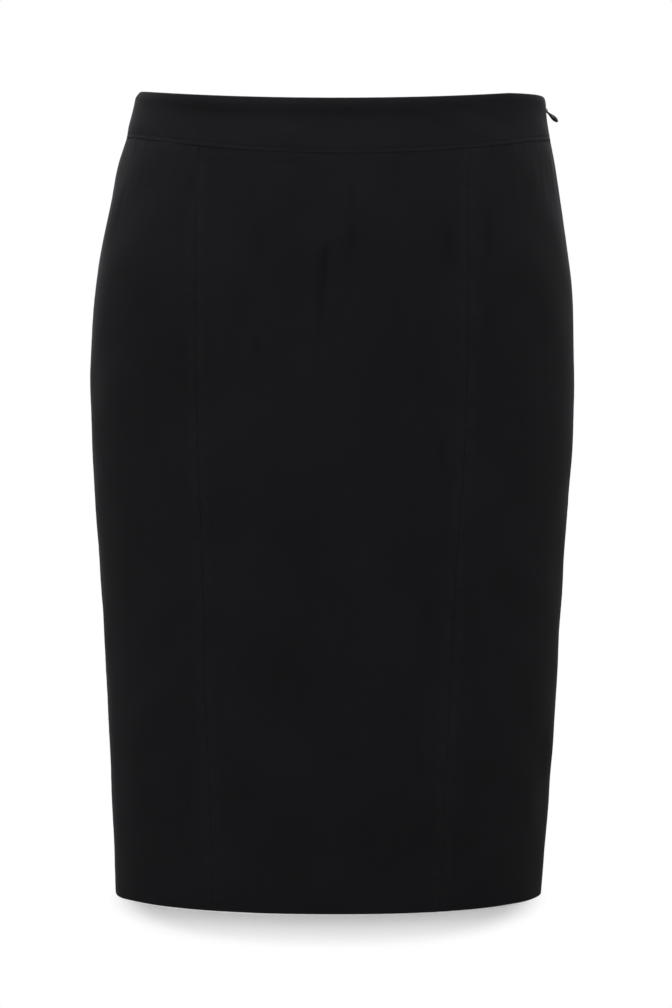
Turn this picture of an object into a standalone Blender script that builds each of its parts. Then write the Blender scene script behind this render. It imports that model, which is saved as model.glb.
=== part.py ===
"""Knee-length pencil skirt, filled out as it is worn, with nobody in it.

Blender 4.5 script, metres, +Z up. The front faces -Y, the wearer's left, which has the zip, is +X,
and the origin is the middle of the waist opening, level with the top edge over the hips.

The cloth is one surface: a stack of level sections, each an ellipse-like ring whose size comes from
SECTIONS. A place on it is a ring angle and a height. Angle 0 is the left side seam, 90 degrees the
centre front, 180 the right side seam and 270 the centre back. Every sewn piece is a wall cut out of
that surface between seam lines, 0.3 mm clear of its neighbours.
"""

import math
from collections import namedtuple

import bmesh
import bpy
import numpy as np
from mathutils import Matrix, Vector

MM = 0.001

# ---------------------------------------------------------------- driving sizes, in millimetres

HEM_LEVEL = -583.5
HEM_LEAN = 0.6              # the hem hangs this much lower on the zip side, higher on the other
SEAM_LEAN = 1.0             # and the waist seam by this much
BAND_SIDE_DEPTH = 36.0      # waistband depth over the hips
PANEL_WALL = 1.6
SEAM_GAP = 0.3

TOP_FRONT_DIP = 21.3        # how far the top edge falls from the hips to the centre front
TOP_FRONT_CURVE = 1.28      # 1 is a straight slope in side view, more is a flatter start at the hips
SEAM_FRONT_DIP = 25.1       # the same for the waist seam
SEAM_FRONT_CURVE = 1.7
TOP_BACK_RISE = 2.0
SEAM_BACK_RISE = 1.5

ZIP_CORNER_DROP = 5.5       # the band's two loose corners sink a little at the top of the zip
ZIP_CORNER_REACH = 0.6      # as a share of the ring's depth
ZIP_GROOVE_DEPTH = 0.9      # the cloth turns in beside the slider
ZIP_GROOVE_WIDTH = 3.5
ZIP_OPEN_HALF_GAP = 0.95    # half the parting that the slider's neck stands in
ZIP_OPEN_LEVEL = -17.0
ZIP_CLOSED_LEVEL = -25.0

SLIT_LENGTH = 160.0         # walking slit at the centre back
SLIT_HALF_GAP = 1.5

Section = namedtuple("Section", "level centre half_width front_depth back_depth power")
SECTIONS = [
    Section(5.0, 0.0, 148.2, 99.5, 98.5, 2.00),
    Section(0.0, -0.1, 149.0, 100.0, 99.0, 2.00),
    Section(-10.0, -0.6, 150.2, 100.5, 100.0, 2.00),
    Section(-22.0, -1.4, 151.5, 101.5, 101.5, 2.00),
    Section(-35.0, -2.0, 154.2, 103.5, 103.8, 2.00),
    Section(-55.0, -3.1, 159.1, 106.8, 108.0, 2.02),
    Section(-80.0, -4.0, 163.7, 110.0, 114.0, 2.05),
    Section(-110.0, -4.7, 168.8, 112.4, 121.0, 2.08),
    Section(-140.0, -5.2, 173.0, 113.5, 126.6, 2.10),
    Section(-170.0, -5.8, 175.4, 113.5, 130.0, 2.10),
    Section(-205.0, -6.3, 176.1, 112.7, 131.0, 2.10),
    Section(-240.0, -6.4, 175.6, 111.6, 129.8, 2.10),
    Section(-275.0, -6.6, 174.0, 110.5, 127.2, 2.08),
    Section(-310.0, -6.9, 171.5, 109.5, 124.0, 2.06),
    Section(-350.0, -6.9, 168.7, 108.2, 120.0, 2.05),
    Section(-400.0, -6.8, 165.8, 106.9, 115.5, 2.05),
    Section(-450.0, -7.0, 163.1, 105.7, 111.5, 2.06),
    Section(-500.0, -7.6, 160.0, 104.6, 108.0, 2.08),
    Section(-550.0, -8.5, 157.0, 103.6, 105.0, 2.10),
    Section(-590.0, -9.4, 154.7, 102.9, 102.8, 2.10),
]

# Princess seams: how far out each lies, as a share of the section's half width.
PrincessPoint = namedtuple("PrincessPoint", "level right left")
PRINCESS_SEAMS = [
    PrincessPoint(-50.0, 0.604, 0.590),
    PrincessPoint(-90.0, 0.579, 0.557),
    PrincessPoint(-130.0, 0.556, 0.540),
    PrincessPoint(-170.0, 0.539, 0.533),
    PrincessPoint(-230.0, 0.532, 0.529),
    PrincessPoint(-300.0, 0.528, 0.521),
    PrincessPoint(-370.0, 0.529, 0.509),
    PrincessPoint(-440.0, 0.531, 0.500),
    PrincessPoint(-500.0, 0.522, 0.498),
    PrincessPoint(-590.0, 0.513, 0.499),
]

# The band's face and back, row by row: share of its depth, and how far each stands off the surface.
BandRow = namedtuple("BandRow", "down face back")
BAND_ROWS = [
    BandRow(0.00, -1.6, -2.6),    # folded top edge, rolled in
    BandRow(0.07, -0.4, -2.6),
    BandRow(0.20, 0.0, -2.2),
    BandRow(0.36, -0.4, -2.4),    # shallow hollow under the edge
    BandRow(0.66, 0.2, -2.0),
    BandRow(1.00, 0.6, -1.6),     # proud over the seam allowance
]

PANEL_ROWS = 20
BAND_COLUMNS = 24
PANEL_COLUMNS = {
    "front_side_left": 8,
    "front_centre": 14,
    "front_side_right": 9,
    "back_right": 16,
    "back_left": 15,
}
ROW_SAMPLES = 361           # points that each row's length is measured on
SHARP_EDGE_DEGREES = 35.0
ZIP_COLUMNS_BAND = (1.5, 3.5, 6.0, 12.0)   # distances from the zip, where the band needs fine columns
ZIP_COLUMNS_PANEL = (6.0, 12.0)

TAPE_THICKNESS = 0.8
TAPE_TOP_ROW = 2            # the band row where the tape starts
TAPE_PANEL_ROWS = 6         # how many panel rows it covers

SLIDER_LEVEL = -13.8
SLIDER_SIZE = (3.6, 7.0, 9.0)
SLIDER_ROUNDING = 0.9
NECK_THICKNESS = 1.2
NECK_RADIUS = 1.55
NECK_HOLE_RADIUS = 1.0
EYE_SIDES, HOLE_SIDES = 24, 16
PIVOT_OFF_CLOTH = 0.9

PULL_SLOPE = 42.7           # degrees below level
PULL_SLOT = (0.5, 2.1)      # from the pivot, along the tab
PULL_SLOT_HALF_WIDTH = 0.9
PULL_SLOT_REACH = 3.0       # cuts right through the tab's thickness
PULL_SIDES = 12
PullRing = namedtuple("PullRing", "along half_width half_thickness")
PULL_RINGS = [
    PullRing(-0.55, 1.60, 0.22),
    PullRing(-0.30, 1.85, 0.48),
    PullRing(0.30, 1.90, 0.52),
    PullRing(2.10, 1.80, 0.60),
    PullRing(3.60, 1.50, 0.80),
    PullRing(5.40, 1.75, 1.20),
    PullRing(7.20, 2.15, 1.55),
    PullRing(8.80, 2.35, 1.65),
    PullRing(10.20, 2.20, 1.45),
    PullRing(11.40, 1.55, 0.95),
    PullRing(12.20, 0.50, 0.30),
]

CLOTH_COLOUR = (0.010, 0.010, 0.012)
TAPE_COLOUR = (0.014, 0.014, 0.016)
METAL_COLOUR = (0.060, 0.058, 0.062)

SIDE_LEFT, SIDE_RIGHT, CENTRE_BACK = 0.0, math.pi, 1.5 * math.pi
FULL_TURN = 2.0 * math.pi


# ---------------------------------------------------------------- the cloth surface

def table_value(rows, column, level):
    """Read a table's column at any height, on a smooth curve through its rows."""
    knots = np.array([-row.level for row in rows])
    values = np.array([getattr(row, column) for row in rows])
    slopes = np.gradient(values, knots)
    down = np.clip(-np.asarray(level, dtype=float), knots[0], knots[-1])
    low = np.clip(np.searchsorted(knots, down) - 1, 0, len(knots) - 2)
    span = knots[low + 1] - knots[low]
    t = (down - knots[low]) / span
    return ((1 + 2 * t) * (1 - t) ** 2 * values[low] + t * (1 - t) ** 2 * span * slopes[low]
            + t * t * (3 - 2 * t) * values[low + 1] + t * t * (t - 1) * span * slopes[low + 1])


def surface_point(angle, level):
    """Return the points of the cloth surface at ring angles and heights."""
    angle, level = np.broadcast_arrays(np.asarray(angle, dtype=float), np.asarray(level, dtype=float))
    across, forward = np.cos(angle), np.sin(angle)
    bend = 2.0 / table_value(SECTIONS, "power", level)
    front = table_value(SECTIONS, "front_depth", level)
    back = table_value(SECTIONS, "back_depth", level)
    depth = np.where(forward >= 0.0, front, back)
    half_width = table_value(SECTIONS, "half_width", level)
    x = table_value(SECTIONS, "centre", level) + half_width * np.sign(across) * np.abs(across) ** bend
    y = -depth * np.sign(forward) * np.abs(forward) ** bend
    return np.stack([x, y, level], axis=-1)


def surface_normal(angle, level):
    """Return the surface's outward unit normals, from small steps round and down it."""
    turn, step = 0.004, 1.0
    around = surface_point(angle + turn, level) - surface_point(angle - turn, level)
    upward = surface_point(angle, level + step) - surface_point(angle, level - step)
    normal = np.cross(upward, around)
    return normal / np.linalg.norm(normal, axis=-1, keepdims=True)


def zip_corner_drop(angle):
    """How far the band's top edge sinks near the zip."""
    share = np.clip(1.0 - np.abs(np.sin(angle)) / ZIP_CORNER_REACH, 0.0, 1.0)
    return np.where(np.cos(angle) > 0.0, ZIP_CORNER_DROP * share, 0.0)


def top_level(angle):
    """Height of the waist's top edge."""
    forward = np.sin(angle)
    fall = TOP_FRONT_DIP * np.clip(forward, 0.0, 1.0) ** TOP_FRONT_CURVE
    rise = TOP_BACK_RISE * np.clip(-forward, 0.0, 1.0) ** 2
    return rise - fall - zip_corner_drop(angle)


def waist_seam_level(angle):
    """Height of the seam between the band and the panels."""
    forward = np.sin(angle)
    fall = SEAM_FRONT_DIP * np.clip(forward, 0.0, 1.0) ** SEAM_FRONT_CURVE
    rise = SEAM_BACK_RISE * np.clip(-forward, 0.0, 1.0) ** 2
    return rise - fall - BAND_SIDE_DEPTH - SEAM_LEAN * np.cos(angle)


def hem_level(angle):
    """Height of the hem."""
    return HEM_LEVEL - HEM_LEAN * np.cos(angle)


def band_level(angle, down):
    """Height on the band, from its top edge (down 0) to just above the waist seam (down 1)."""
    return top_level(angle) * (1.0 - down) + (waist_seam_level(angle) + SEAM_GAP / 2) * down


def panel_level(angle, down):
    """Height on a panel, from just below the waist seam (down 0) to the hem (down 1)."""
    return (waist_seam_level(angle) - SEAM_GAP / 2) * (1.0 - down) + hem_level(angle) * down


# ---------------------------------------------------------------- seam lines

def princess_angle(side):
    """Return a function that gives a princess seam's ring angle at each share of panel length.

    The seam's place depends on its height and its height on its place, so a few rounds settle both.
    """
    sign = 1.0 if side == "left" else -1.0
    rounds = 6

    def angle_at(down):
        angle = math.pi / 2
        for _ in range(rounds):
            level = panel_level(angle, down)
            share = table_value(PRINCESS_SEAMS, side, level)
            power = table_value(SECTIONS, "power", level)
            angle = math.acos(sign * float(share ** (power / 2.0)))
        return angle

    return angle_at


def fixed_angle(angle):
    """Return a seam that keeps one ring angle from top to bottom."""
    return lambda down: angle


def plain_half_gap(level):
    """Half the gap of an ordinary seam."""
    return SEAM_GAP / 2


def zip_half_gap(level):
    """Half the gap at the zip: parted round the slider's neck and above it, closed below."""
    share = np.clip((level - ZIP_CLOSED_LEVEL) / (ZIP_OPEN_LEVEL - ZIP_CLOSED_LEVEL), 0.0, 1.0)
    return SEAM_GAP / 2 + (ZIP_OPEN_HALF_GAP - SEAM_GAP / 2) * share


def slit_half_gap(level):
    """Half the gap at the centre back: sewn above, a slit that opens towards the hem."""
    share = np.clip((HEM_LEVEL + SLIT_LENGTH - level) / SLIT_LENGTH, 0.0, 1.0)
    return SEAM_GAP / 2 + (SLIT_HALF_GAP - SEAM_GAP / 2) * share


Seam = namedtuple("Seam", "angle_at half_gap near_columns")
LEFT_SIDE_BAND = Seam(fixed_angle(SIDE_LEFT), zip_half_gap, ZIP_COLUMNS_BAND)
LEFT_SIDE_BAND_END = LEFT_SIDE_BAND._replace(angle_at=fixed_angle(FULL_TURN))
LEFT_SIDE = Seam(fixed_angle(SIDE_LEFT), plain_half_gap, ZIP_COLUMNS_PANEL)
LEFT_SIDE_END = LEFT_SIDE._replace(angle_at=fixed_angle(FULL_TURN))
RIGHT_SIDE = Seam(fixed_angle(SIDE_RIGHT), plain_half_gap, ())
LEFT_PRINCESS = Seam(princess_angle("left"), plain_half_gap, ())
RIGHT_PRINCESS = Seam(princess_angle("right"), plain_half_gap, ())
BACK_SEAM = Seam(fixed_angle(CENTRE_BACK), slit_half_gap, ())


# ---------------------------------------------------------------- cutting pieces out of the surface

RowEnd = namedtuple("RowEnd", "half_gap near_columns")


def column_distances(width, first, last, column_count):
    """Distances of a row's columns from its first edge, fine beside a seam that asks for it."""
    start = [0.0] + [distance - first.half_gap for distance in first.near_columns]
    end = [width - (distance - last.half_gap) for distance in reversed(last.near_columns)] + [width]
    middle = np.linspace(start[-1], end[0], column_count + 1)[1:-1]
    return np.array(start + list(middle) + end)


def lay_out(first, last, level_at, rows_down, column_count):
    """Place a piece's rows and columns between two seams.

    Each row is measured along the cloth, so its columns are evenly spaced and its edges stop half a
    seam gap short of the seam lines. Returns ring angles and heights, both rows by columns.
    """
    angles, levels = [], []
    for down in rows_down:
        fine = np.linspace(first.angle_at(down), last.angle_at(down), ROW_SAMPLES)
        line = surface_point(fine, level_at(fine, down))
        steps = np.linalg.norm(np.diff(line, axis=0), axis=-1)
        distance = np.concatenate([[0.0], np.cumsum(steps)])
        gap_first = float(first.half_gap(line[0, 2]))
        gap_last = float(last.half_gap(line[-1, 2]))
        width = distance[-1] - gap_first - gap_last
        columns = column_distances(width, RowEnd(gap_first, first.near_columns),
                                   RowEnd(gap_last, last.near_columns), column_count)
        row = np.interp(gap_first + columns, distance, fine)
        angles.append(row)
        levels.append(level_at(row, down))
    return np.array(angles), np.array(levels)


def zip_groove(angle, level):
    """How far the cloth turns in beside the slider."""
    point = surface_point(angle, level)
    beside = np.exp(-(point[..., 1] / ZIP_GROOVE_WIDTH) ** 2) * (np.cos(angle) > 0.0)
    upper = np.clip((level - ZIP_CLOSED_LEVEL) / (ZIP_OPEN_LEVEL - ZIP_CLOSED_LEVEL), 0.0, 1.0)
    return ZIP_GROOVE_DEPTH * beside * upper


def raised_points(angles, levels, stand_off):
    """Points that stand off the cloth surface by given distances, in metres."""
    lift = stand_off - zip_groove(angles, levels)
    return (surface_point(angles, levels) + surface_normal(angles, levels) * lift[..., None]) * MM


def wall_mesh(name, face, back):
    """Close two grids of points, the outer face and the inner back, into one wall."""
    rows, columns = face.shape[:2]
    index = np.arange(rows * columns).reshape(rows, columns)
    inner = index + rows * columns
    quads = []

    def add_sheet(grid, flip):
        corners = np.stack([grid[:-1, :-1], grid[1:, :-1], grid[1:, 1:], grid[:-1, 1:]], axis=-1)
        corners = corners.reshape(-1, 4)
        quads.extend((corners[:, ::-1] if flip else corners).tolist())

    def add_rim(outer_line, inner_line):
        ring = np.stack([outer_line[:-1], outer_line[1:], inner_line[1:], inner_line[:-1]], axis=-1)
        quads.extend(ring.tolist())

    add_sheet(index, flip=False)
    add_sheet(inner, flip=True)
    add_rim(index[0], inner[0])
    add_rim(index[-1][::-1], inner[-1][::-1])
    add_rim(index[:, 0][::-1], inner[:, 0][::-1])
    add_rim(index[:, -1], inner[:, -1])

    mesh = bpy.data.meshes.new(name)
    points = np.concatenate([face.reshape(-1, 3), back.reshape(-1, 3)])
    mesh.from_pydata(points.tolist(), [], quads)
    mesh.update()
    return mesh


def face_outwards(mesh):
    """Recalculate a closed mesh's normals so that they point out."""
    work = bmesh.new()
    work.from_mesh(mesh)
    bmesh.ops.recalc_face_normals(work, faces=work.faces)
    work.to_mesh(mesh)
    work.free()


def finish_object(name, mesh, material):
    """Link a mesh as a named, smooth-shaded object with its material."""
    face_outwards(mesh)
    mesh.shade_smooth()
    mesh.set_sharp_from_angle(angle=math.radians(SHARP_EDGE_DEGREES))
    mesh.materials.append(material)
    obj = bpy.data.objects.new(name, mesh)
    bpy.context.scene.collection.objects.link(obj)
    return obj


def make_material(name, colour, roughness, metallic=0.0):
    """Make a Principled material."""
    material = bpy.data.materials.new(name)
    material.use_nodes = True
    shader = material.node_tree.nodes["Principled BSDF"]
    shader.inputs["Base Color"].default_value = (*colour, 1.0)
    shader.inputs["Roughness"].default_value = roughness
    shader.inputs["Metallic"].default_value = metallic
    return material


# ---------------------------------------------------------------- the sewn pieces

def sewn_wall(name, layout, face_off, back_off, material):
    """Make a wall over a layout, its face and back at given distances off the surface, row by row."""
    angles, levels = layout
    face = raised_points(angles, levels, np.reshape(face_off, (-1, 1)))
    back = raised_points(angles, levels, np.reshape(back_off, (-1, 1)))
    finish_object(name, wall_mesh(name, face, back), material)


def band_piece(name, first, last, cloth):
    """Make one piece of the shaped waistband. Returns its layout for what lies behind it."""
    layout = lay_out(first, last, band_level, [row.down for row in BAND_ROWS], BAND_COLUMNS)
    sewn_wall(name, layout, [row.face for row in BAND_ROWS], [row.back for row in BAND_ROWS], cloth)
    return layout


def panel_piece(name, first, last, cloth):
    """Make one panel from the waist seam to the hem. Returns its layout."""
    layout = lay_out(first, last, panel_level, np.linspace(0.0, 1.0, PANEL_ROWS + 1), PANEL_COLUMNS[name])
    face_off = np.zeros(PANEL_ROWS + 1)
    sewn_wall(name, layout, face_off, face_off - PANEL_WALL, cloth)
    return layout


def zip_tape(name, band_layout, panel_layout, tape_material):
    """Make one zip tape behind the edge of the band and the panel, from their own points.

    Each layout's columns run away from the zip. The tape takes the columns 6 and 12 mm out, and an
    inner edge that clears the slider's neck. Behind the band it lies straight, not in its hollow.
    """
    band_picks = [ZIP_COLUMNS_BAND.index(distance) + 1 for distance in ZIP_COLUMNS_PANEL]
    panel_picks = [column + 1 for column in range(len(ZIP_COLUMNS_PANEL))]
    band_angles, band_levels = [grid[TAPE_TOP_ROW:] for grid in band_layout]
    panel_angles, panel_levels = [grid[1:TAPE_PANEL_ROWS + 1] for grid in panel_layout]
    outer = np.concatenate([band_angles[:, band_picks], panel_angles[:, panel_picks]])
    outer_levels = np.concatenate([band_levels[:, band_picks], panel_levels[:, panel_picks]])
    zip_line = SIDE_LEFT if outer[0, 0] < math.pi else FULL_TURN
    inner_share = ZIP_OPEN_HALF_GAP / ZIP_COLUMNS_PANEL[0]
    edge = zip_line + (outer[:, :1] - zip_line) * inner_share
    edge_levels = np.concatenate([band_levels[:, :1], panel_levels[:, :1]])
    angles = np.concatenate([edge, outer], axis=1)
    levels = np.concatenate([edge_levels, outer_levels], axis=1)

    behind_band = [min(row.back, BAND_ROWS[TAPE_TOP_ROW].back) for row in BAND_ROWS[TAPE_TOP_ROW:]]
    behind_panel = [-PANEL_WALL] * len(panel_angles)
    face_off = np.array(behind_band + behind_panel) - SEAM_GAP
    sewn_wall(name, (angles, levels), face_off, face_off - TAPE_THICKNESS, tape_material)


# ---------------------------------------------------------------- zip slider and pull tab

def place_on_zip():
    """Return the x of the cloth's face, and of the tape's back, at the slider."""
    base = surface_point(SIDE_LEFT, SLIDER_LEVEL)[0]
    shares = [row.down for row in BAND_ROWS]
    down = (top_level(SIDE_LEFT) - SLIDER_LEVEL) / (top_level(SIDE_LEFT) - waist_seam_level(SIDE_LEFT))
    face = base - ZIP_GROOVE_DEPTH + np.interp(down, shares, [row.face for row in BAND_ROWS])
    deepest = min(row.back for row in BAND_ROWS[TAPE_TOP_ROW:])
    tape_back = base - ZIP_GROOVE_DEPTH + deepest - SEAM_GAP - TAPE_THICKNESS
    return float(face), float(tape_back)


def add_cutter(name, mesh):
    """Link a hidden helper that a Boolean uses."""
    obj = bpy.data.objects.new(name, mesh)
    bpy.context.scene.collection.objects.link(obj)
    obj.hide_render = True
    obj.display_type = "WIRE"
    return obj


def add_boolean(obj, helper, operation):
    """Add an exact Boolean of a helper to an object."""
    modifier = obj.modifiers.new(operation.title(), "BOOLEAN")
    modifier.operation = operation
    modifier.solver = "EXACT"
    modifier.object = helper


def box_mesh(name, low, high):
    """Make a box between two corners, given in millimetres."""
    work = bmesh.new()
    size = (Vector(high) - Vector(low)) * MM
    middle = (Vector(high) + Vector(low)) * MM / 2
    place = Matrix.Translation(middle) @ Matrix.Diagonal((*size, 1.0))
    bmesh.ops.create_cube(work, size=1.0, matrix=place)
    mesh = bpy.data.meshes.new(name)
    work.to_mesh(mesh)
    work.free()
    return mesh


def disc_mesh(name, centre, radius, thickness, sides):
    """Make a disc that faces along Y, its centre in millimetres."""
    work = bmesh.new()
    turn = Matrix.Rotation(math.pi / 2, 4, "X")
    place = Matrix.Translation(Vector(centre) * MM) @ turn
    bmesh.ops.create_cone(work, cap_ends=True, segments=sides, radius1=radius * MM, radius2=radius * MM,
                          depth=thickness * MM, matrix=place)
    mesh = bpy.data.meshes.new(name)
    work.to_mesh(mesh)
    work.free()
    return mesh


def build_slider(pivot_x, back_x, metal):
    """Make the slider: a bevelled body behind the tapes, and a neck with the pull tab's eye."""
    depth, width, height = SLIDER_SIZE
    face_x = back_x - SEAM_GAP
    low = (face_x - depth, -width / 2, SLIDER_LEVEL - height / 2)
    high = (face_x, width / 2, SLIDER_LEVEL + height / 2)
    mesh = box_mesh("zip_slider", low, high)
    work = bmesh.new()
    work.from_mesh(mesh)
    bmesh.ops.bevel(work, geom=work.edges[:], offset=SLIDER_ROUNDING * MM, segments=2, profile=0.5,
                     affect="EDGES")
    work.to_mesh(mesh)
    work.free()
    slider = finish_object("zip_slider", mesh, metal)

    neck_low = (face_x - depth / 2, -NECK_THICKNESS / 2, SLIDER_LEVEL - NECK_RADIUS)
    neck_high = (pivot_x, NECK_THICKNESS / 2, SLIDER_LEVEL + NECK_RADIUS)
    neck = add_cutter("neck_helper", box_mesh("neck_helper", neck_low, neck_high))
    pivot = (pivot_x, 0.0, SLIDER_LEVEL)
    eye = add_cutter("eye_helper", disc_mesh("eye_helper", pivot, NECK_RADIUS, NECK_THICKNESS, EYE_SIDES))
    hole = add_cutter("hole_helper", disc_mesh("hole_helper", pivot, NECK_HOLE_RADIUS, NECK_THICKNESS * 2,
                                               HOLE_SIDES))
    add_boolean(slider, neck, "UNION")
    add_boolean(slider, eye, "UNION")
    add_boolean(slider, hole, "DIFFERENCE")


def build_pull(pivot_x, metal):
    """Make the teardrop pull tab, hung by its crossbar in the slider's eye."""
    side = np.linspace(0.0, FULL_TURN, PULL_SIDES, endpoint=False)
    rings = np.array([[(ring.along, ring.half_width * math.cos(a), ring.half_thickness * math.sin(a))
                       for a in side] for ring in PULL_RINGS])
    count = len(PULL_RINGS)
    index = np.arange(count * PULL_SIDES).reshape(count, PULL_SIDES)
    nxt = np.roll(index, -1, axis=1)
    faces = np.stack([index[:-1], nxt[:-1], nxt[1:], index[1:]], axis=-1).reshape(-1, 4).tolist()
    faces.append(index[0][::-1].tolist())
    faces.append(index[-1].tolist())
    mesh = bpy.data.meshes.new("zip_pull")
    mesh.from_pydata((rings.reshape(-1, 3) * MM).tolist(), [], faces)
    pull = finish_object("zip_pull", mesh, metal)
    slot_low = (PULL_SLOT[0], -PULL_SLOT_HALF_WIDTH, -PULL_SLOT_REACH)
    slot_high = (PULL_SLOT[1], PULL_SLOT_HALF_WIDTH, PULL_SLOT_REACH)
    slot = add_cutter("slot_helper", box_mesh("slot_helper", slot_low, slot_high))
    hang = Matrix.Translation(Vector((pivot_x, 0.0, SLIDER_LEVEL)) * MM)
    hang = hang @ Matrix.Rotation(math.radians(PULL_SLOPE), 4, "Y")
    pull.matrix_world = hang
    slot.matrix_world = hang
    add_boolean(pull, slot, "DIFFERENCE")


# ---------------------------------------------------------------- assembly

def main():
    """Build the skirt."""
    for old in list(bpy.data.objects):
        bpy.data.objects.remove(old, do_unlink=True)

    cloth = make_material("black crepe", CLOTH_COLOUR, 0.85)
    tape_material = make_material("zip tape", TAPE_COLOUR, 0.8)
    metal = make_material("zip metal", METAL_COLOUR, 0.4, metallic=0.6)

    band_front = band_piece("waistband_front", LEFT_SIDE_BAND, RIGHT_SIDE, cloth)
    band_back = band_piece("waistband_back", RIGHT_SIDE, LEFT_SIDE_BAND_END, cloth)

    side_left = panel_piece("front_side_left", LEFT_SIDE, LEFT_PRINCESS, cloth)
    panel_piece("front_centre", LEFT_PRINCESS, RIGHT_PRINCESS, cloth)
    panel_piece("front_side_right", RIGHT_PRINCESS, RIGHT_SIDE, cloth)
    panel_piece("back_right", RIGHT_SIDE, BACK_SEAM, cloth)
    back_left = panel_piece("back_left", BACK_SEAM, LEFT_SIDE_END, cloth)

    zip_tape("zip_tape_front", band_front, side_left, tape_material)
    turned_band = [grid[:, ::-1] for grid in band_back]
    turned_panel = [grid[:, ::-1] for grid in back_left]
    zip_tape("zip_tape_back", turned_band, turned_panel, tape_material)

    cloth_x, tape_back_x = place_on_zip()
    pivot_x = cloth_x + PIVOT_OFF_CLOTH
    build_slider(pivot_x, tape_back_x, metal)
    build_pull(pivot_x, metal)


main()
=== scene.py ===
"""Looks of a black pencil skirt, filled out as it is worn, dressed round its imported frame.

Metres in the frame, millimetres while shapes are worked out. +Z is up, the front faces -Y, and the
wearer's left, which has the zip, is +X. The cloth lies on one worn form, a stack of level rings:
ring angle 0 is the left side seam, 90 degrees the centre front, 180 the right side seam and 270
the centre back. Every sewn piece is a thin closed shell on that form between its seam lines.
"""

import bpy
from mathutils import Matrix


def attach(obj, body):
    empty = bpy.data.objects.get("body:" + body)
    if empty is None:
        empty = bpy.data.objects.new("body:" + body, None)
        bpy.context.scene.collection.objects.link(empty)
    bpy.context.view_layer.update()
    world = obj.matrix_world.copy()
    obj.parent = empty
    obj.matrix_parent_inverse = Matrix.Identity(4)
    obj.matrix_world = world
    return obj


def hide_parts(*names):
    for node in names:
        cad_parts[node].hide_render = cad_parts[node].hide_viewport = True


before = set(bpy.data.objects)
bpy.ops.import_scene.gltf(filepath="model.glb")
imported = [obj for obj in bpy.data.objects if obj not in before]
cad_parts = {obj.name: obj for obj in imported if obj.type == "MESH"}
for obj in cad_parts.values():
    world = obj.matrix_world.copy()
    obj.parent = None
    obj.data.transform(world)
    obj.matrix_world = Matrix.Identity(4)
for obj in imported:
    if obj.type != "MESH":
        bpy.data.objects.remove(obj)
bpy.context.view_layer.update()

import logging
import math
from collections.abc import Callable
from dataclasses import dataclass, field, fields, replace
from enum import Enum

import bpy
import numpy as np
from mathutils import Matrix, Vector

Array = np.ndarray
Series = tuple[float, ...]
Pair = tuple[float, float]
Triple = tuple[float, float, float]
Object, Material = bpy.types.Object, bpy.types.Material
Tree, Node, Socket = bpy.types.NodeTree, bpy.types.Node, bpy.types.NodeSocket
LOG = logging.getLogger("skirt")

MM = 0.001
FULL_TURN = 2.0 * math.pi
GIRTH = 150.0                 # millimetres round the waist or hips for each radian of ring angle, about
GARMENT, PULL_TAB = "garment", "pull_tab"
CLOTH_SLOT, TAPE_SLOT, METAL_SLOT = "cloth", "zip_tape", "zip_metal"
CLOTH_MAP = "cloth"           # UV map, in metres along the cloth
RUBBED_AND_PAINTED_SHEEN = "rubbed"             # point attribute: 1 along folded edges, which is wear, plus painted sheen over pressed seam allowances
PAINTED_SHADE = "shaded"             # point attribute of painted shade: 1 at the bottom of the deepest crease, and high in the band's hollow


# ------ small curves that shapes are made of

def ease(value: Array, low: float, high: float) -> Array:
    """Rise smoothly from 0 at low to 1 at high (3t^2 - 2t^3)."""
    share = np.clip((np.asarray(value, dtype=float) - low) / (high - low), 0.0, 1.0)
    return share * share * (3.0 - 2.0 * share)


def hump(value: Array, middle: float, half_width: float) -> Array:
    """A bell curve of height 1, exp(-((value - middle) / half_width)^2)."""
    return np.exp(-(((np.asarray(value, dtype=float) - middle) / half_width) ** 2))


def round_square(turn: Array, power: float) -> Array:
    """Radius of the rounded square |x|^p + |y|^p = 1 in the direction of each turn."""
    return (np.abs(np.cos(turn)) ** power + np.abs(np.sin(turn)) ** power) ** (-1.0 / power)


def run_length(path: Array) -> Array:
    """Distance from a path's start to each of its points."""
    return np.concatenate([[0.0], np.cumsum(np.linalg.norm(np.diff(path, axis=0), axis=1))])


def rolled(distance: Array, radius: float) -> Array:
    """How far a fold of the given radius has turned in at a distance from its edge: a quarter circle."""
    inside = np.clip(radius - distance, 0.0, radius)
    return radius - np.sqrt(radius * radius - inside * inside)


def smooth_curve(knots: Array, values: Array, place: Array) -> Array:
    """Read a cubic curve through points, its slopes taken from its neighbours, and flat past its ends.

    Args:
        knots: Places of the points, rising.
        values: Their values.
        place: Where to read the curve.

    Returns:
        The values there.
    """
    slopes = np.gradient(values, knots)
    place = np.clip(np.asarray(place, dtype=float), knots[0], knots[-1])
    low = np.clip(np.searchsorted(knots, place) - 1, 0, len(knots) - 2)
    span = knots[low + 1] - knots[low]
    t = (place - knots[low]) / span
    return ((1 + 2 * t) * (1 - t) ** 2 * values[low] + t * (1 - t) ** 2 * span * slopes[low]
            + t * t * (3 - 2 * t) * values[low + 1] + t * t * (t - 1) * span * slopes[low + 1])


def ripple(along: Array, seed: int, lengths: Series) -> Array:
    """An uneven wave of about height 1 along a seam, from sines of the given lengths.

    Args:
        along: Distance along the seam, in millimetres.
        seed: Picks the phases and shares of the sines.
        lengths: Wave lengths, in millimetres.

    Returns:
        The wave, with the shape of along.
    """
    draw = np.random.default_rng(seed)
    phases = draw.uniform(0.0, FULL_TURN, len(lengths))
    shares = draw.uniform(0.6, 1.0, len(lengths))
    waves = [share * np.sin(FULL_TURN * along / length + phase)
             for share, length, phase in zip(shares, lengths, phases)]
    return sum(waves) / math.sqrt(len(lengths))


# ------ the worn form

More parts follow.
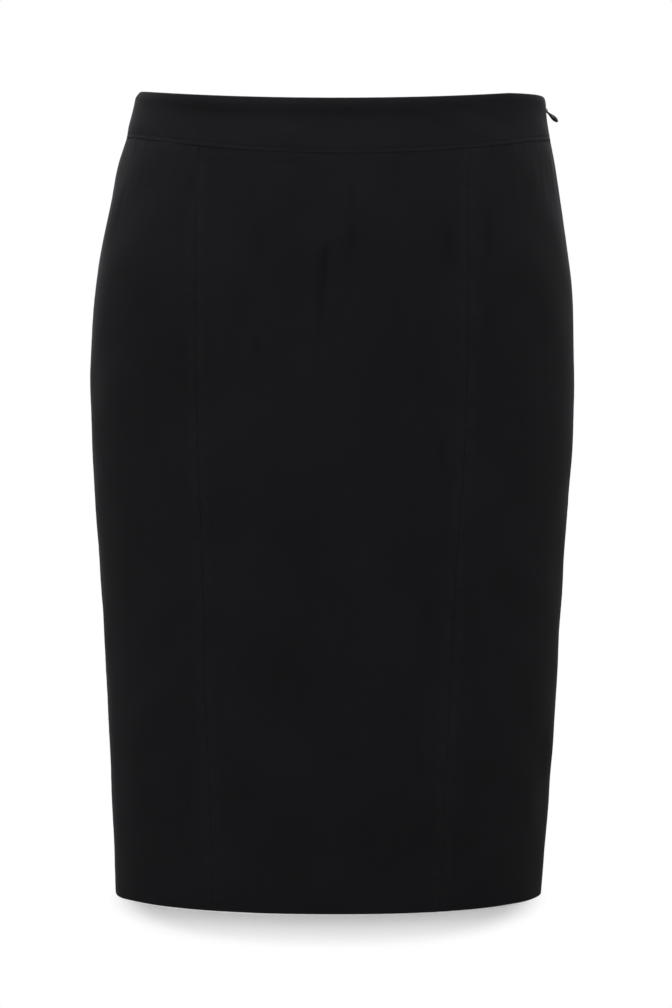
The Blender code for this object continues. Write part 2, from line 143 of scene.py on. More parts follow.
@dataclass(frozen=True)
class SizeTable:
    """Sizes listed at heights down the skirt. Each row is a level followed by one value a column."""

    columns: tuple[str, ...]
    rows: tuple[Series, ...]

    def read(self, column: str, level: Array) -> Array:
        """Read a column at any height, on a smooth curve through its rows."""
        table = np.array(self.rows)
        return smooth_curve(-table[:, 0], table[:, 1 + self.columns.index(column)], -np.asarray(level))


SECTIONS = SizeTable(("centre", "half_width", "front_depth", "back_depth", "power"), (
    (5.0, 0.0, 148.2, 99.5, 98.5, 2.00),
    (0.0, -0.1, 149.0, 100.0, 99.0, 2.00),
    (-10.0, -0.6, 150.2, 100.5, 100.0, 2.00),
    (-22.0, -1.4, 151.5, 101.5, 101.5, 2.00),
    (-35.0, -2.0, 154.2, 103.5, 103.8, 2.00),
    (-55.0, -3.1, 159.1, 106.8, 108.0, 2.02),
    (-80.0, -4.0, 163.7, 110.0, 114.0, 2.05),
    (-110.0, -4.7, 168.8, 112.4, 121.0, 2.08),
    (-140.0, -5.2, 173.0, 113.5, 126.6, 2.10),
    (-170.0, -5.8, 175.4, 113.5, 130.0, 2.10),
    (-205.0, -6.3, 176.1, 112.7, 131.0, 2.10),
    (-240.0, -6.4, 175.6, 111.6, 129.8, 2.10),
    (-275.0, -6.6, 174.0, 110.5, 127.2, 2.08),
    (-310.0, -6.9, 171.5, 109.5, 124.0, 2.06),
    (-350.0, -6.9, 168.7, 108.2, 120.0, 2.05),
    (-400.0, -6.8, 165.8, 106.9, 115.5, 2.05),
    (-450.0, -7.0, 163.1, 105.7, 111.5, 2.06),
    (-500.0, -7.6, 160.0, 104.6, 108.0, 2.08),
    (-550.0, -8.5, 157.0, 103.6, 105.0, 2.10),
    (-590.0, -9.4, 154.7, 102.9, 102.8, 2.10),
))

# How far out each princess seam lies, as a share of the section's half width.
PRINCESS_SEAMS = SizeTable(("right", "left"), (
    (-50.0, 0.604, 0.590),
    (-90.0, 0.579, 0.557),
    (-130.0, 0.556, 0.540),
    (-170.0, 0.539, 0.533),
    (-230.0, 0.532, 0.529),
    (-300.0, 0.528, 0.521),
    (-370.0, 0.529, 0.509),
    (-440.0, 0.531, 0.500),
    (-500.0, 0.522, 0.498),
    (-590.0, 0.513, 0.499),
))


class Edge(Enum):
    """The lines that the pieces are cut along."""

    ZIP_FRONT = (0.0, 21)
    LEFT_PRINCESS = (None, 22)
    RIGHT_PRINCESS = (None, 23)
    RIGHT_SIDE = (math.pi, 24)
    CENTRE_BACK = (1.5 * math.pi, 25)
    ZIP_BACK = (FULL_TURN, 21)

    def __init__(self, angle: float | None, seed: int) -> None:
        """Keep the ring angle, where the edge has one, and the seed of its seam's uneven pucker."""
        self.angle, self.seed = angle, seed


@dataclass(frozen=True)
class WornForm:
    """The smooth outer surface that all the cloth lies on, in millimetres, and degrees round it."""

    hem_height: float = -583.5
    hem_lean: float = 0.6
    hem_sink: float = 1.15
    hem_sink_place: Pair = (164.0, 11.0)
    band_side_depth: float = 36.0
    top_front_dip: float = 21.3
    top_front_curve: float = 1.28
    top_back_rise: float = 2.0
    seam_front_dip: float = 25.1
    seam_lean: float = 1.0
    seam_front_curve: float = 1.7
    seam_back_rise: float = 1.5
    corner_drop: float = 5.5
    corner_reach: float = 0.6
    groove_depth: float = 0.9
    groove_width: float = 3.5
    open_half_gap: float = 0.95
    open_level: float = -17.0
    closed_level: float = -25.0
    slit_length: float = 160.0
    slit_half_gap: float = 1.5
    settling_rounds: int = 8

    def point(self, angle: Array, level: Array) -> Array:
        """Points of the surface: x = centre + w cos|cos|^(2/p - 1), y = -d sin|sin|^(2/p - 1).

        Args:
            angle: Ring angles.
            level: Heights.

        Returns:
            Points, with a last axis of 3.
        """
        angle, level = np.broadcast_arrays(np.asarray(angle, dtype=float), np.asarray(level, dtype=float))
        across, forward = np.cos(angle), np.sin(angle)
        bend = 2.0 / SECTIONS.read("power", level)
        depth = np.where(forward >= 0.0, SECTIONS.read("front_depth", level),
                         SECTIONS.read("back_depth", level))
        x = (SECTIONS.read("centre", level)
             + SECTIONS.read("half_width", level) * np.sign(across) * np.abs(across) ** bend)
        y = -depth * np.sign(forward) * np.abs(forward) ** bend
        return np.stack([x, y, level], axis=-1)

    def normal(self, angle: Array, level: Array) -> Array:
        """Outward unit normals, from small steps round and up the surface.

        Args:
            angle: Ring angles.
            level: Heights.

        Returns:
            Normals, with a last axis of 3.
        """
        turn, step = 0.004, 1.0
        around = self.point(angle + turn, level) - self.point(angle - turn, level)
        upward = self.point(angle, level + step) - self.point(angle, level - step)
        normal = np.cross(upward, around)
        return normal / np.linalg.norm(normal, axis=-1, keepdims=True)

    def angle_of(self, x: Array, level: Array, at_back: bool) -> Array:
        """Ring angle of a place given by its x, on the front or the back.

        Args:
            x: How far left the place is.
            level: Its height.
            at_back: True on the back.

        Returns:
            The ring angle.
        """
        share = (x - SECTIONS.read("centre", level)) / SECTIONS.read("half_width", level)
        power = SECTIONS.read("power", level)
        angle = np.arccos(np.clip(np.sign(share) * np.abs(share) ** (power / 2.0), -1.0, 1.0))
        return FULL_TURN - angle if at_back else angle

    def top_edge(self, angle: Array) -> Array:
        """Height of the waist's top edge: it dips at the front and sinks at the zip's corners.

        Args:
            angle: Ring angles.

        Returns:
            Heights.
        """
        forward = np.sin(angle)
        fall = self.top_front_dip * np.clip(forward, 0.0, 1.0) ** self.top_front_curve
        rise = self.top_back_rise * np.clip(-forward, 0.0, 1.0) ** 2
        near_zip = np.clip(1.0 - np.abs(forward) / self.corner_reach, 0.0, 1.0) * (np.cos(angle) > 0.0)
        return rise - fall - self.corner_drop * near_zip

    def waist_seam(self, angle: Array) -> Array:
        """Height of the seam between the band and the panels.

        Args:
            angle: Ring angles.

        Returns:
            Heights.
        """
        forward = np.sin(angle)
        fall = self.seam_front_dip * np.clip(forward, 0.0, 1.0) ** self.seam_front_curve
        rise = self.seam_back_rise * np.clip(-forward, 0.0, 1.0) ** 2
        return rise - fall - self.band_side_depth - self.seam_lean * np.cos(angle)

    def hem(self, angle: Array) -> Array:
        """Height of the hem: it leans a little to the zip side and sinks at the right front corner."""
        sink = self.hem_sink * hump(np.degrees(angle), *self.hem_sink_place)
        return self.hem_height - self.hem_lean * np.cos(angle) - sink

    def zip_parting(self, level: Array) -> Array:
        """1 where the zip is open round and above its slider, 0 where it is closed."""
        return np.clip((level - self.closed_level) / (self.open_level - self.closed_level), 0.0, 1.0)

    def zip_groove(self, angle: Array, level: Array) -> Array:
        """How far the cloth turns in beside the slider."""
        beside = hump(self.point(angle, level)[..., 1], 0.0, self.groove_width) * (np.cos(angle) > 0.0)
        return self.groove_depth * beside * self.zip_parting(level)

    def half_gap(self, edge: Edge, level: Array, on_band: bool) -> Array:
        """Half the gap at an edge: the parted zip's or the slit's. A sewn seam has none.

        Args:
            edge: The edge.
            level: Heights along it.
            on_band: True for the waistband's edge.

        Returns:
            Half gaps.
        """
        if edge in (Edge.ZIP_FRONT, Edge.ZIP_BACK) and on_band:
            return self.open_half_gap * self.zip_parting(level)
        if edge is Edge.CENTRE_BACK:
            share = np.clip((self.hem_height + self.slit_length - level) / self.slit_length, 0.0, 1.0)
            return self.slit_half_gap * share
        return np.zeros_like(level)

    def edge_angle(self, edge: Edge, level_at: Callable[[Array], Array], rows: int) -> Array:
        """Ring angle of an edge on each row.

        Args:
            edge: The edge.
            level_at: Gives each row's height at ring angles of shape (rows, n).
            rows: How many rows there are.

        Returns:
            Angles of shape (rows, 1). A princess seam's angle and height depend on each other, so a
            few rounds settle both.
        """
        if edge.angle is not None:
            return np.full((rows, 1), edge.angle)
        side, sign = ("left", 1.0) if edge is Edge.LEFT_PRINCESS else ("right", -1.0)
        angle = np.full((rows, 1), math.pi / 2)
        for _ in range(self.settling_rounds):
            level = level_at(angle)
            share = PRINCESS_SEAMS.read(side, level)
            angle = np.arccos(sign * share ** (SECTIONS.read("power", level) / 2.0))
        return angle


FORM = WornForm()


# ------ laying a piece out on the form

@dataclass(frozen=True)
class Rows:
    """Rows of a piece: fixed distances near its top and bottom edges, even shares between them."""

    share: Array
    drop: Array
    lift: Array

    @classmethod
    def graded(cls, near_top: Series, near_bottom: Series, length: float, spacing: float) -> "Rows":
        """Rows for a piece of about a length, fine near both edges and evenly spaced between.

        Args:
            near_top: Distances of the fine rows from the top edge.
            near_bottom: Distances of the fine rows from the bottom edge.
            length: About how long the piece is.
            spacing: About how far apart its even rows are.

        Returns:
            The rows.
        """
        count = int((length - near_top[-1] - near_bottom[-1]) / spacing)
        middle = np.linspace(0.0, 1.0, count + 1)[1:-1]
        share = np.concatenate([np.zeros(len(near_top)), middle, np.ones(len(near_bottom))])
        drop = np.concatenate([near_top, np.full(len(middle), near_top[-1]), np.zeros(len(near_bottom))])
        lift = np.concatenate([np.zeros(len(near_top)), np.full(len(middle), near_bottom[-1]),
                               near_bottom[::-1]])
        return cls(share[:, None], drop[:, None], lift[:, None])

    def level(self, upper: Array, lower: Array) -> Array:
        """Heights of the rows between an upper and a lower line."""
        return (upper - self.drop) * (1.0 - self.share) + (lower + self.lift) * self.share


@dataclass(frozen=True)
class ClothGrid:
    """A piece laid out: rows down the cloth by columns round it, in millimetres."""

    angle: Array
    level: Array
    point: Array
    normal: Array
    from_first: Array
    from_last: Array
    from_top: Array
    from_bottom: Array

    def from_ends(self) -> Array:
        """Distance from the nearer side edge."""
        return np.minimum(self.from_first, self.from_last)

    def from_edge(self) -> Array:
        """Distance from the nearest edge."""
        return np.minimum.reduce([self.from_ends(), self.from_top, self.from_bottom])

    def lifted(self, off: Array) -> Array:
        """Points that stand off the form by the given distances."""
        lift = off - FORM.zip_groove(self.angle, self.level)
        return self.point + self.normal * lift[..., None]


def read_rows(place: Array, knots: Array, values: Array) -> Array:
    """Interpolate every row at once: each row is shifted past the last, so one line holds them all."""
    shift = np.arange(len(knots))[:, None] * (knots.max() + 1.0)
    return np.interp((place + shift).ravel(), (knots + shift).ravel(), values.ravel()).reshape(place.shape)


def lay_out(first: Edge, last: Edge, rows: Rows, on_band: bool, near: Series, spacing: float) -> ClothGrid:
    """Lay a piece out between two edges.

    Each row is measured along the cloth, so its columns keep their distances from the edges, and it
    stops half a gap short of each edge line.

    Args:
        first: The edge at the smaller ring angle.
        last: The edge at the larger ring angle.
        rows: The piece's rows.
        on_band: True for the waistband, False for a panel.
        near: Distances of the fine columns from both edges, starting at 0.
        spacing: Distance between the even columns.

    Returns:
        The laid out piece.
    """
    def bounds_at(angle: Array) -> tuple[Array, Array]:
        """Upper and lower line of the piece at ring angles."""
        seam = FORM.waist_seam(angle)
        return (FORM.top_edge(angle), seam) if on_band else (seam, FORM.hem(angle))

    def level_at(angle: Array) -> Array:
        """Heights of the rows at ring angles."""
        return rows.level(*bounds_at(angle))

    samples = 721
    count = len(rows.share)
    start, end = FORM.edge_angle(first, level_at, count), FORM.edge_angle(last, level_at, count)
    fine = start + (end - start) * np.linspace(0.0, 1.0, samples)
    fine_level = level_at(fine)
    steps = np.linalg.norm(np.diff(FORM.point(fine, fine_level), axis=1), axis=-1)
    distance = np.concatenate([np.zeros((count, 1)), np.cumsum(steps, axis=1)], axis=1)
    gap_first = FORM.half_gap(first, fine_level[:, :1], on_band)
    gap_last = FORM.half_gap(last, fine_level[:, -1:], on_band)
    width = distance[:, -1:] - gap_first - gap_last

    edge = np.array(near)
    even = np.linspace(0.0, 1.0, int((width.max() - 2 * edge[-1]) / spacing) + 1)[1:-1]
    from_first = np.concatenate([np.broadcast_to(edge, (count, len(edge))),
                                 edge[-1] + (width - 2 * edge[-1]) * even,
                                 width - edge[::-1]], axis=1)
    angle = read_rows(gap_first + from_first, distance, fine)
    level = level_at(angle)
    upper, lower = bounds_at(angle)
    return ClothGrid(angle, level, FORM.point(angle, level), FORM.normal(angle, level), from_first,
                     width - from_first, upper - level, level - lower)


# ------ meshes

def grid_quads(rows: int, columns: int, closed_round: bool = False) -> Array:
    """Quads of a grid of points, wound so that they face away from the form.

    Args:
        rows: Rows of points.
        columns: Points in each row.
        closed_round: True where each row is a ring.

    Returns:
        Point numbers, shape (m, 4).
    """
    index = np.arange(rows * columns).reshape(rows, columns)
    right = np.roll(index, -1, axis=1) if closed_round else index[:, 1:]
    left = index if closed_round else index[:, :-1]
    return np.stack([left[:-1], right[:-1], right[1:], left[1:]], axis=-1).reshape(-1, 4)


def build_mesh(name: str, points: Array, *faces: Array, chart: Array | None = None,
               masks: dict[str, Array] | None = None) -> Object:
    """Make a smooth-shaded object at the origin from points and faces.

    Args:
        name: Name of the piece.
        points: Points in millimetres, shape (n, 3).
        faces: Point numbers of quads, shape (m, 4), and of triangles, shape (m, 3).
        chart: Each point's place along the cloth in millimetres, shape (n, 2), for the UV map.
        masks: Values from 0 to 1 at each point, under the names of the attributes that hold them.

    Returns:
        The linked object.
    """
    corners = np.concatenate([kind.ravel() for kind in faces])
    sizes = np.concatenate([np.full(len(kind), kind.shape[1]) for kind in faces])
    mesh = bpy.data.meshes.new(name)
    mesh.vertices.add(len(points))
    mesh.vertices.foreach_set("co", (points * MM).astype(np.float32).ravel())
    mesh.loops.add(len(corners))
    mesh.loops.foreach_set("vertex_index", corners.astype(np.int32))
    mesh.polygons.add(len(sizes))
    mesh.polygons.foreach_set("loop_start", (np.cumsum(sizes) - sizes).astype(np.int32))
    mesh.update(calc_edges=True)
    mesh.validate()
    if chart is not None:
        layer = mesh.uv_layers.new(name=CLOTH_MAP)
        layer.data.foreach_set("uv", (chart[corners] * MM).astype(np.float32).ravel())
    for label, values in (masks or {}).items():
        mesh.attributes.new(label, "FLOAT", "POINT").data.foreach_set("value", values.astype(np.float32))
    mesh.shade_smooth()
    obj = bpy.data.objects.new(name, mesh)
    bpy.context.scene.collection.objects.link(obj)
    return obj


def shell_mesh(name: str, grid: ClothGrid, face: Array, back: Array, masks: dict[str, Array]) -> Object:
    """Close a piece's outer face and inner back into one shell, with a strip round its four edges.

    Args:
        name: Name of the piece.
        grid: Its layout.
        face: How far its outer face stands off the form.
        back: How far its inner face stands off the form.
        masks: Values from 0 to 1 on the layout, for both faces.

    Returns:
        The linked object.
    """
    rows, columns = grid.level.shape
    outer = np.arange(rows * columns).reshape(rows, columns)
    inner = outer + rows * columns
    front = grid_quads(rows, columns)
    behind = front[:, ::-1] + rows * columns
    rims = [(outer[0][::-1], inner[0][::-1]), (outer[-1], inner[-1]),
            (outer[:, 0], inner[:, 0]), (outer[::-1, -1], inner[::-1, -1])]
    strips = [np.stack([a[:-1], a[1:], b[1:], b[:-1]], axis=-1) for a, b in rims]
    chart = np.stack([grid.from_first, -grid.from_top], axis=-1).reshape(-1, 2)
    points = np.concatenate([grid.lifted(off).reshape(-1, 3) for off in (face, back)])
    return build_mesh(name, points, front, behind, *strips, chart=np.tile(chart, (2, 1)),
                      masks={label: np.tile(values.ravel(), 2) for label, values in masks.items()})


def ringed_mesh(name: str, rings: Array, tips: Array, inside_out: bool = False) -> Object:
    """Close rings of points into one skin, with a fan to a tip at each end.

    Args:
        name: Name of the piece.
        rings: Points of the rings, shape (n, sides, 3).
        tips: The point before the first ring and the one past the last, shape (2, 3).
        inside_out: True where the rings run the other way round, so that the faces are turned over.

    Returns:
        The linked object.
    """
    count, sides = rings.shape[:2]
    quads = grid_quads(count, sides, closed_round=True)
    total = count * sides
    first, last = np.arange(sides), np.arange(sides) + total - sides
    caps = np.concatenate([np.stack([np.roll(first, -1), first, np.full(sides, total)], axis=-1),
                           np.stack([last, np.roll(last, -1), np.full(sides, total + 1)], axis=-1)])
    if inside_out:
        quads, caps = quads[:, [0, 3, 2, 1]], caps[:, [1, 0, 2]]
    return build_mesh(name, np.concatenate([rings.reshape(-1, 3), tips]), quads, caps)


def tube_mesh(name: str, path: Array, radius: float, sides: int) -> Object:
    """Sweep a round thread along a path, with closed ends.

    Each ring lies square to the path, on two axes that follow from the path and a fixed leaning
    direction, so that the thread doesn't twist.

    Args:
        name: Name of the piece.
        path: Points along the thread's middle, shape (n, 3).
        radius: Radius of the thread, which shrinks to a fifth at its ends.
        sides: Points in each ring.

    Returns:
        The linked object.
    """
    forward = np.gradient(path, axis=0)
    forward /= np.linalg.norm(forward, axis=1, keepdims=True)
    side = np.cross(forward, np.array([0.31, 0.17, 0.93]))
    side /= np.linalg.norm(side, axis=1, keepdims=True)
    other = np.cross(forward, side)
    turn = np.linspace(0.0, FULL_TURN, sides, endpoint=False)
    scale = np.ones(len(path))
    scale[[0, -1]] = 0.2
    ring = (side[:, None] * np.cos(turn)[:, None] + other[:, None] * np.sin(turn)[:, None])
    return ringed_mesh(name, path[:, None] + ring * (radius * scale)[:, None, None], path[[0, -1]])


def stitch_mesh(name: str, centre: Array, along: Array, outward: Array, length: float, radius: float) -> Object:
    """Make a row of stitches, each a short arched thread whose ends dip into the cloth.

    Args:
        name: Name of the piece.
        centre: Middle of each stitch, shape (n, 3).
        along: Unit direction of each stitch.
        outward: Unit direction away from the cloth.
        length: Length of a stitch.
        radius: Radius of the thread.

    Returns:
        The linked object, with all the stitches in one mesh.
    """
    sides, steps = 6, np.linspace(-1.0, 1.0, 5)
    turn = np.linspace(0.0, FULL_TURN, sides, endpoint=False)
    thick = radius * np.sqrt(np.clip(1.0 - 0.8 * steps ** 6, 0.0, 1.0))
    dip = -1.6 * radius * steps ** 4
    across = np.cross(outward, along)
    ring = (across[:, None, None] * np.cos(turn)[:, None] + outward[:, None, None] * np.sin(turn)[:, None])
    points = (centre[:, None, None] + along[:, None, None] * (steps * length / 2)[:, None, None]
              + outward[:, None, None] * dip[:, None, None] + ring * thick[:, None, None])
    ends = np.array([[0, 1, 2, 3], [0, 3, 4, 5]])
    one = np.concatenate([grid_quads(len(steps), sides, closed_round=True)[:, ::-1], ends,
                          ends[:, ::-1] + (len(steps) - 1) * sides])
    quads = (np.arange(len(centre))[:, None, None] * len(steps) * sides + one).reshape(-1, 4)
    return build_mesh(name, points.reshape(-1, 3), quads)


def finish_piece(obj: Object, body: str, slot: str, material: Material, *stands_for: str) -> None:
    """Dress a piece, let it ride on its body, and hide the solids that it stands for.

    Args:
        obj: The piece.
        body: The body that it rides on.
        slot: Its material slot; not used.
        material: Its material.
        stands_for: The solids that it replaces.
    """
    obj.data.materials.append(material)
    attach(obj, body)
    if stands_for:
        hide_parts(*stands_for)
    LOG.info("%s: %d faces, rides on %s", obj.name, len(obj.data.polygons), body)


# ------ creases and drape

DEEPEST_CREASE = 1.6
Path = tuple[Pair, ...]


@dataclass(frozen=True)
class Crease:
    """A soft trough in the cloth, with a low ridge along each side.

    The path is a few places, each an x and a level in millimetres. The trough is a bell curve across
    the path with a narrower fold at its bottom, and deepest at a share of its length. Its ridges lie
    two half widths out.
    """

    path: Path
    half_width: float
    depth: float
    at_back: bool = False
    deepest: float = 0.5
    left_ridge: float = 0.3
    right_ridge: float = 0.3

    def measure(self, point: Array, normal: Array) -> tuple[Array, Array]:
        """Place points of the surface in the crease.

        Args:
            point: Points in millimetres.
            normal: The form's normals there.

        Returns:
            How far across the crease each point is, in half widths, and how strong the crease is at
            that point of its length, from 0 to 1.
        """
        x, level = np.array(self.path).T
        nodes = FORM.point(FORM.angle_of(x, level, self.at_back), level)
        legs = np.diff(nodes, axis=0)
        lengths, reached = np.linalg.norm(legs, axis=1), run_length(nodes)
        best = np.full(point.shape[:-1], np.inf)
        aside, run = np.zeros_like(best), np.zeros_like(best)
        for start, leg, length, before in zip(nodes, legs, lengths, reached):
            offset = point - start
            share = np.clip((offset @ leg) / length ** 2, 0.0, 1.0)
            away = offset - share[..., None] * leg
            distance = np.linalg.norm(away, axis=-1)
            sideways = np.einsum("...i,...i->...", away, np.cross(leg / length, normal))
            nearer = distance < best
            best = np.where(nearer, distance, best)
            aside = np.where(nearer, np.sign(sideways) * distance, aside)
            run = np.where(nearer, (before + share * length) / reached[-1], run)
        bend = math.log(0.5) / math.log(self.deepest)
        strength = np.sin(math.pi * np.clip(run, 0.0, 1.0) ** bend) ** 1.5
        return aside / self.half_width, strength

    def relief(self, across: Array, strength: Array) -> Array:
        """How far the crease moves the cloth out, in millimetres.

        Args:
            across: How far across the crease each point is, in half widths.
            strength: How strong the crease is there.

        Returns:
            Distances out.
        """
        profile = (self.right_ridge * hump(across, 2.0, 1.4) + self.left_ridge * hump(across, -2.0, 1.4)
                   - 0.6 * hump(across, 0.0, 1.0) - 0.4 * hump(across, 0.0, 0.45))
        return self.depth * strength * profile

    def shade(self, across: Array, strength: Array) -> Array:
        """How much painted shade darkens the fold's bottom, from 0 to 1."""
        bottom = 0.45 * hump(across, 0.15, 1.1) + 0.55 * hump(across, 0.0, 0.5)
        return np.clip(self.depth / DEEPEST_CREASE, 0.0, 1.0) * strength * bottom


def list_creases(*rows: tuple[Path, float, float, float], at_back: bool) -> tuple[Crease, ...]:
    """Creases of one side, from rows of path, half width, depth and deepest share."""
    return tuple(Crease(path, half_width, depth, at_back, deepest) for path, half_width, depth, deepest in rows)


FRONT_CREASES = (Crease(((-10, -124), (-11.5, -142), (-14.5, -179), (-16.5, -230)), 3.3, 1.6,
                        deepest=0.14, left_ridge=0.12, right_ridge=0.35),) + list_creases(
    (((7, -80), (8, -92), (7, -106)), 2.4, 0.75, 0.5),
    (((7, -94), (8.5, -119), (4, -143)), 6.5, 1.25, 0.6),
    (((-56, -106), (-55, -126), (-57, -147)), 5.5, 0.95, 0.5),
    (((74, -102), (75, -126), (75, -150)), 6.8, 1.00, 0.5),
    (((101, -94), (102, -119), (101, -148)), 6.2, 1.00, 0.45),
    (((-58, -183), (-57, -194), (-58.5, -206)), 2.8, 0.95, 0.5),
    (((101, -158), (101.5, -172), (100, -187)), 4.6, 0.85, 0.55),
    (((-103, -64), (-103, -82), (-105, -102)), 4.4, 0.80, 0.5),
    (((62, -196), (56, -212), (58, -232)), 8.0, 0.70, 0.5),
    (((69.5, -246), (70, -266), (69, -290)), 3.4, 0.80, 0.5),
    (((-47, -317), (-35, -331), (-18, -345)), 8.0, 0.50, 0.45),
    (((-93, -355), (-90, -392), (-94, -428)), 9.0, 0.65, 0.5),
    (((60, -350), (59.5, -378), (60, -412)), 5.5, 0.75, 0.5),
    (((51, -438), (53, -470), (56, -500)), 7.0, 0.85, 0.6),
    (((-110, -462), (-106, -496), (-107, -536)), 8.0, 0.90, 0.55),
    (((-3, -430), (0, -462), (6, -500)), 9.0, 0.65, 0.6),
    (((-40, -392), (-45, -430), (-42, -466)), 6.0, 0.50, 0.5),
    (((122, -210), (126, -250), (124, -300)), 8.0, 0.55, 0.45),
    (((-30, -62), (-27, -78), (-29, -98)), 4.5, 0.45, 0.45),
    (((36, -62), (38, -84), (35, -108)), 5.0, 0.50, 0.45),
    at_back=False)

BACK_CREASES = list_creases(
    (((-9, -52), (-7, -92), (-13, -132)), 5.0, 1.05, 0.4),
    (((14, -60), (11, -98), (15, -150)), 6.5, 0.85, 0.5),
    (((-40, -60), (-38, -84), (-42, -112)), 5.0, 0.60, 0.45),
    (((43, -58), (46, -88), (42, -124)), 5.5, 0.55, 0.5),
    (((-64, -178), (-50, -214), (-30, -248)), 9.0, 1.10, 0.4),
    (((58, -196), (47, -226), (25, -262)), 10.0, 0.95, 0.5),
    (((-96, -150), (-101, -206), (-98, -270)), 8.0, 0.70, 0.5),
    (((104, -132), (108, -190), (103, -236)), 7.0, 0.75, 0.45),
    (((-42, -318), (-47, -372), (-43, -436)), 11.0, 0.90, 0.5),
    (((50, -300), (54, -356), (49, -404)), 9.5, 0.80, 0.55),
    (((-86, -398), (-83, -452), (-88, -520)), 12.0, 0.85, 0.5),
    (((90, -420), (88, -474), (93, -536)), 11.0, 0.80, 0.5),
    (((18, -404), (12, -430), (7, -470)), 6.5, 0.85, 0.6),
    (((-21, -396), (-14, -432), (-9, -462)), 6.0, 0.75, 0.6),
    (((-128, -86), (-131, -122), (-128, -166)), 7.0, 0.65, 0.4),
    (((127, -92), (132, -130), (130, -184)), 7.5, 0.60, 0.5),
    at_back=True)


@dataclass(frozen=True)
class Drape:
    """The folds of the whole skirt: its creases, small wrinkles under the band, and slow swells."""

    creases: tuple[Crease, ...] = FRONT_CREASES + BACK_CREASES
    wave_height: float = 0.35
    waves_round: tuple[int, ...] = (7, 11, 16, 23)
    wave_top: float = -150.0
    wave_full: float = -420.0
    wave_seed: int = 11
    wrinkle_height: float = 0.30
    wrinkle_front_share: float = 0.35
    wrinkle_lengths: Series = (13.0, 21.0, 34.0)
    wrinkle_falls: Series = (29.0, 47.0, 80.0)
    wrinkle_slants: Pair = (0.12, 0.3)
    wrinkle_seeds: tuple[int, int] = (41, 42)
    wrinkle_top: float = -40.0
    wrinkle_end: float = -165.0
    swell_height: float = 0.55
    swell_lengths: Series = (62.0, 97.0, 150.0)
    swell_slants: Pair = (0.25, -0.2)
    swell_seeds: tuple[int, int] = (43, 44)

    def relief(self, grid: ClothGrid) -> tuple[Array, Array]:
        """How far the drape moves the cloth out, in millimetres, and the painted shade of its creases.

        The slow wave is a sum of sines round the ring, h sin(k angle + phase + drift), that grows
        from the hips down and drifts sideways a little with height. The wrinkles and swells are
        products of one ripple round the ring and one down it, each on slightly slanted lines, and
        the wrinkles are lower in front.

        Args:
            grid: The panel's layout.

        Returns:
            Distances out, and painted shades from 0 to 1.
        """
        total = np.zeros_like(grid.level)
        shade = np.zeros_like(grid.level)
        for crease in self.creases:
            across, strength = crease.measure(grid.point, grid.normal)
            total += crease.relief(across, strength)
            shade += crease.shade(across, strength)
        around = grid.angle * GIRTH
        behind = ease(-np.sin(grid.angle), -0.35, 0.35)
        fading = ease(grid.level, self.wrinkle_end, self.wrinkle_top) * (
            self.wrinkle_front_share + (1.0 - self.wrinkle_front_share) * behind)
        total = total + self.wrinkle_height * fading * (
            ripple(around + self.wrinkle_slants[0] * grid.level, self.wrinkle_seeds[0], self.wrinkle_lengths)
            * (0.6 + 0.6 * ripple(grid.level + self.wrinkle_slants[1] * around, self.wrinkle_seeds[1],
                                  self.wrinkle_falls)))
        total = total + self.swell_height * (
            ripple(around + self.swell_slants[0] * grid.level, self.swell_seeds[0], self.swell_lengths)
            * ripple(grid.level + self.swell_slants[1] * around, self.swell_seeds[1], self.swell_lengths))
        draw = np.random.default_rng(self.wave_seed)
        fall = (self.wave_top - grid.level) / 100.0
        for waves in self.waves_round:
            phase, drift, share = draw.uniform(0.0, FULL_TURN), draw.uniform(-0.5, 0.5), draw.uniform(0.5, 1.0)
            growth = ease(-grid.level, -self.wave_top, -self.wave_full)
            total = total + (self.wave_height * share * growth * 8.0 / (8.0 + waves)
                             * np.sin(waves * grid.angle + phase + drift * fall))
        return total, np.clip(shade, 0.0, 1.0)


# ------ how the cloth is sewn

VALLEY_SEED, WANDER_SEED, PRESS_SEED, PRESS_LINE_SEED = 50, 70, 71, 72      # added to a seam's own seed


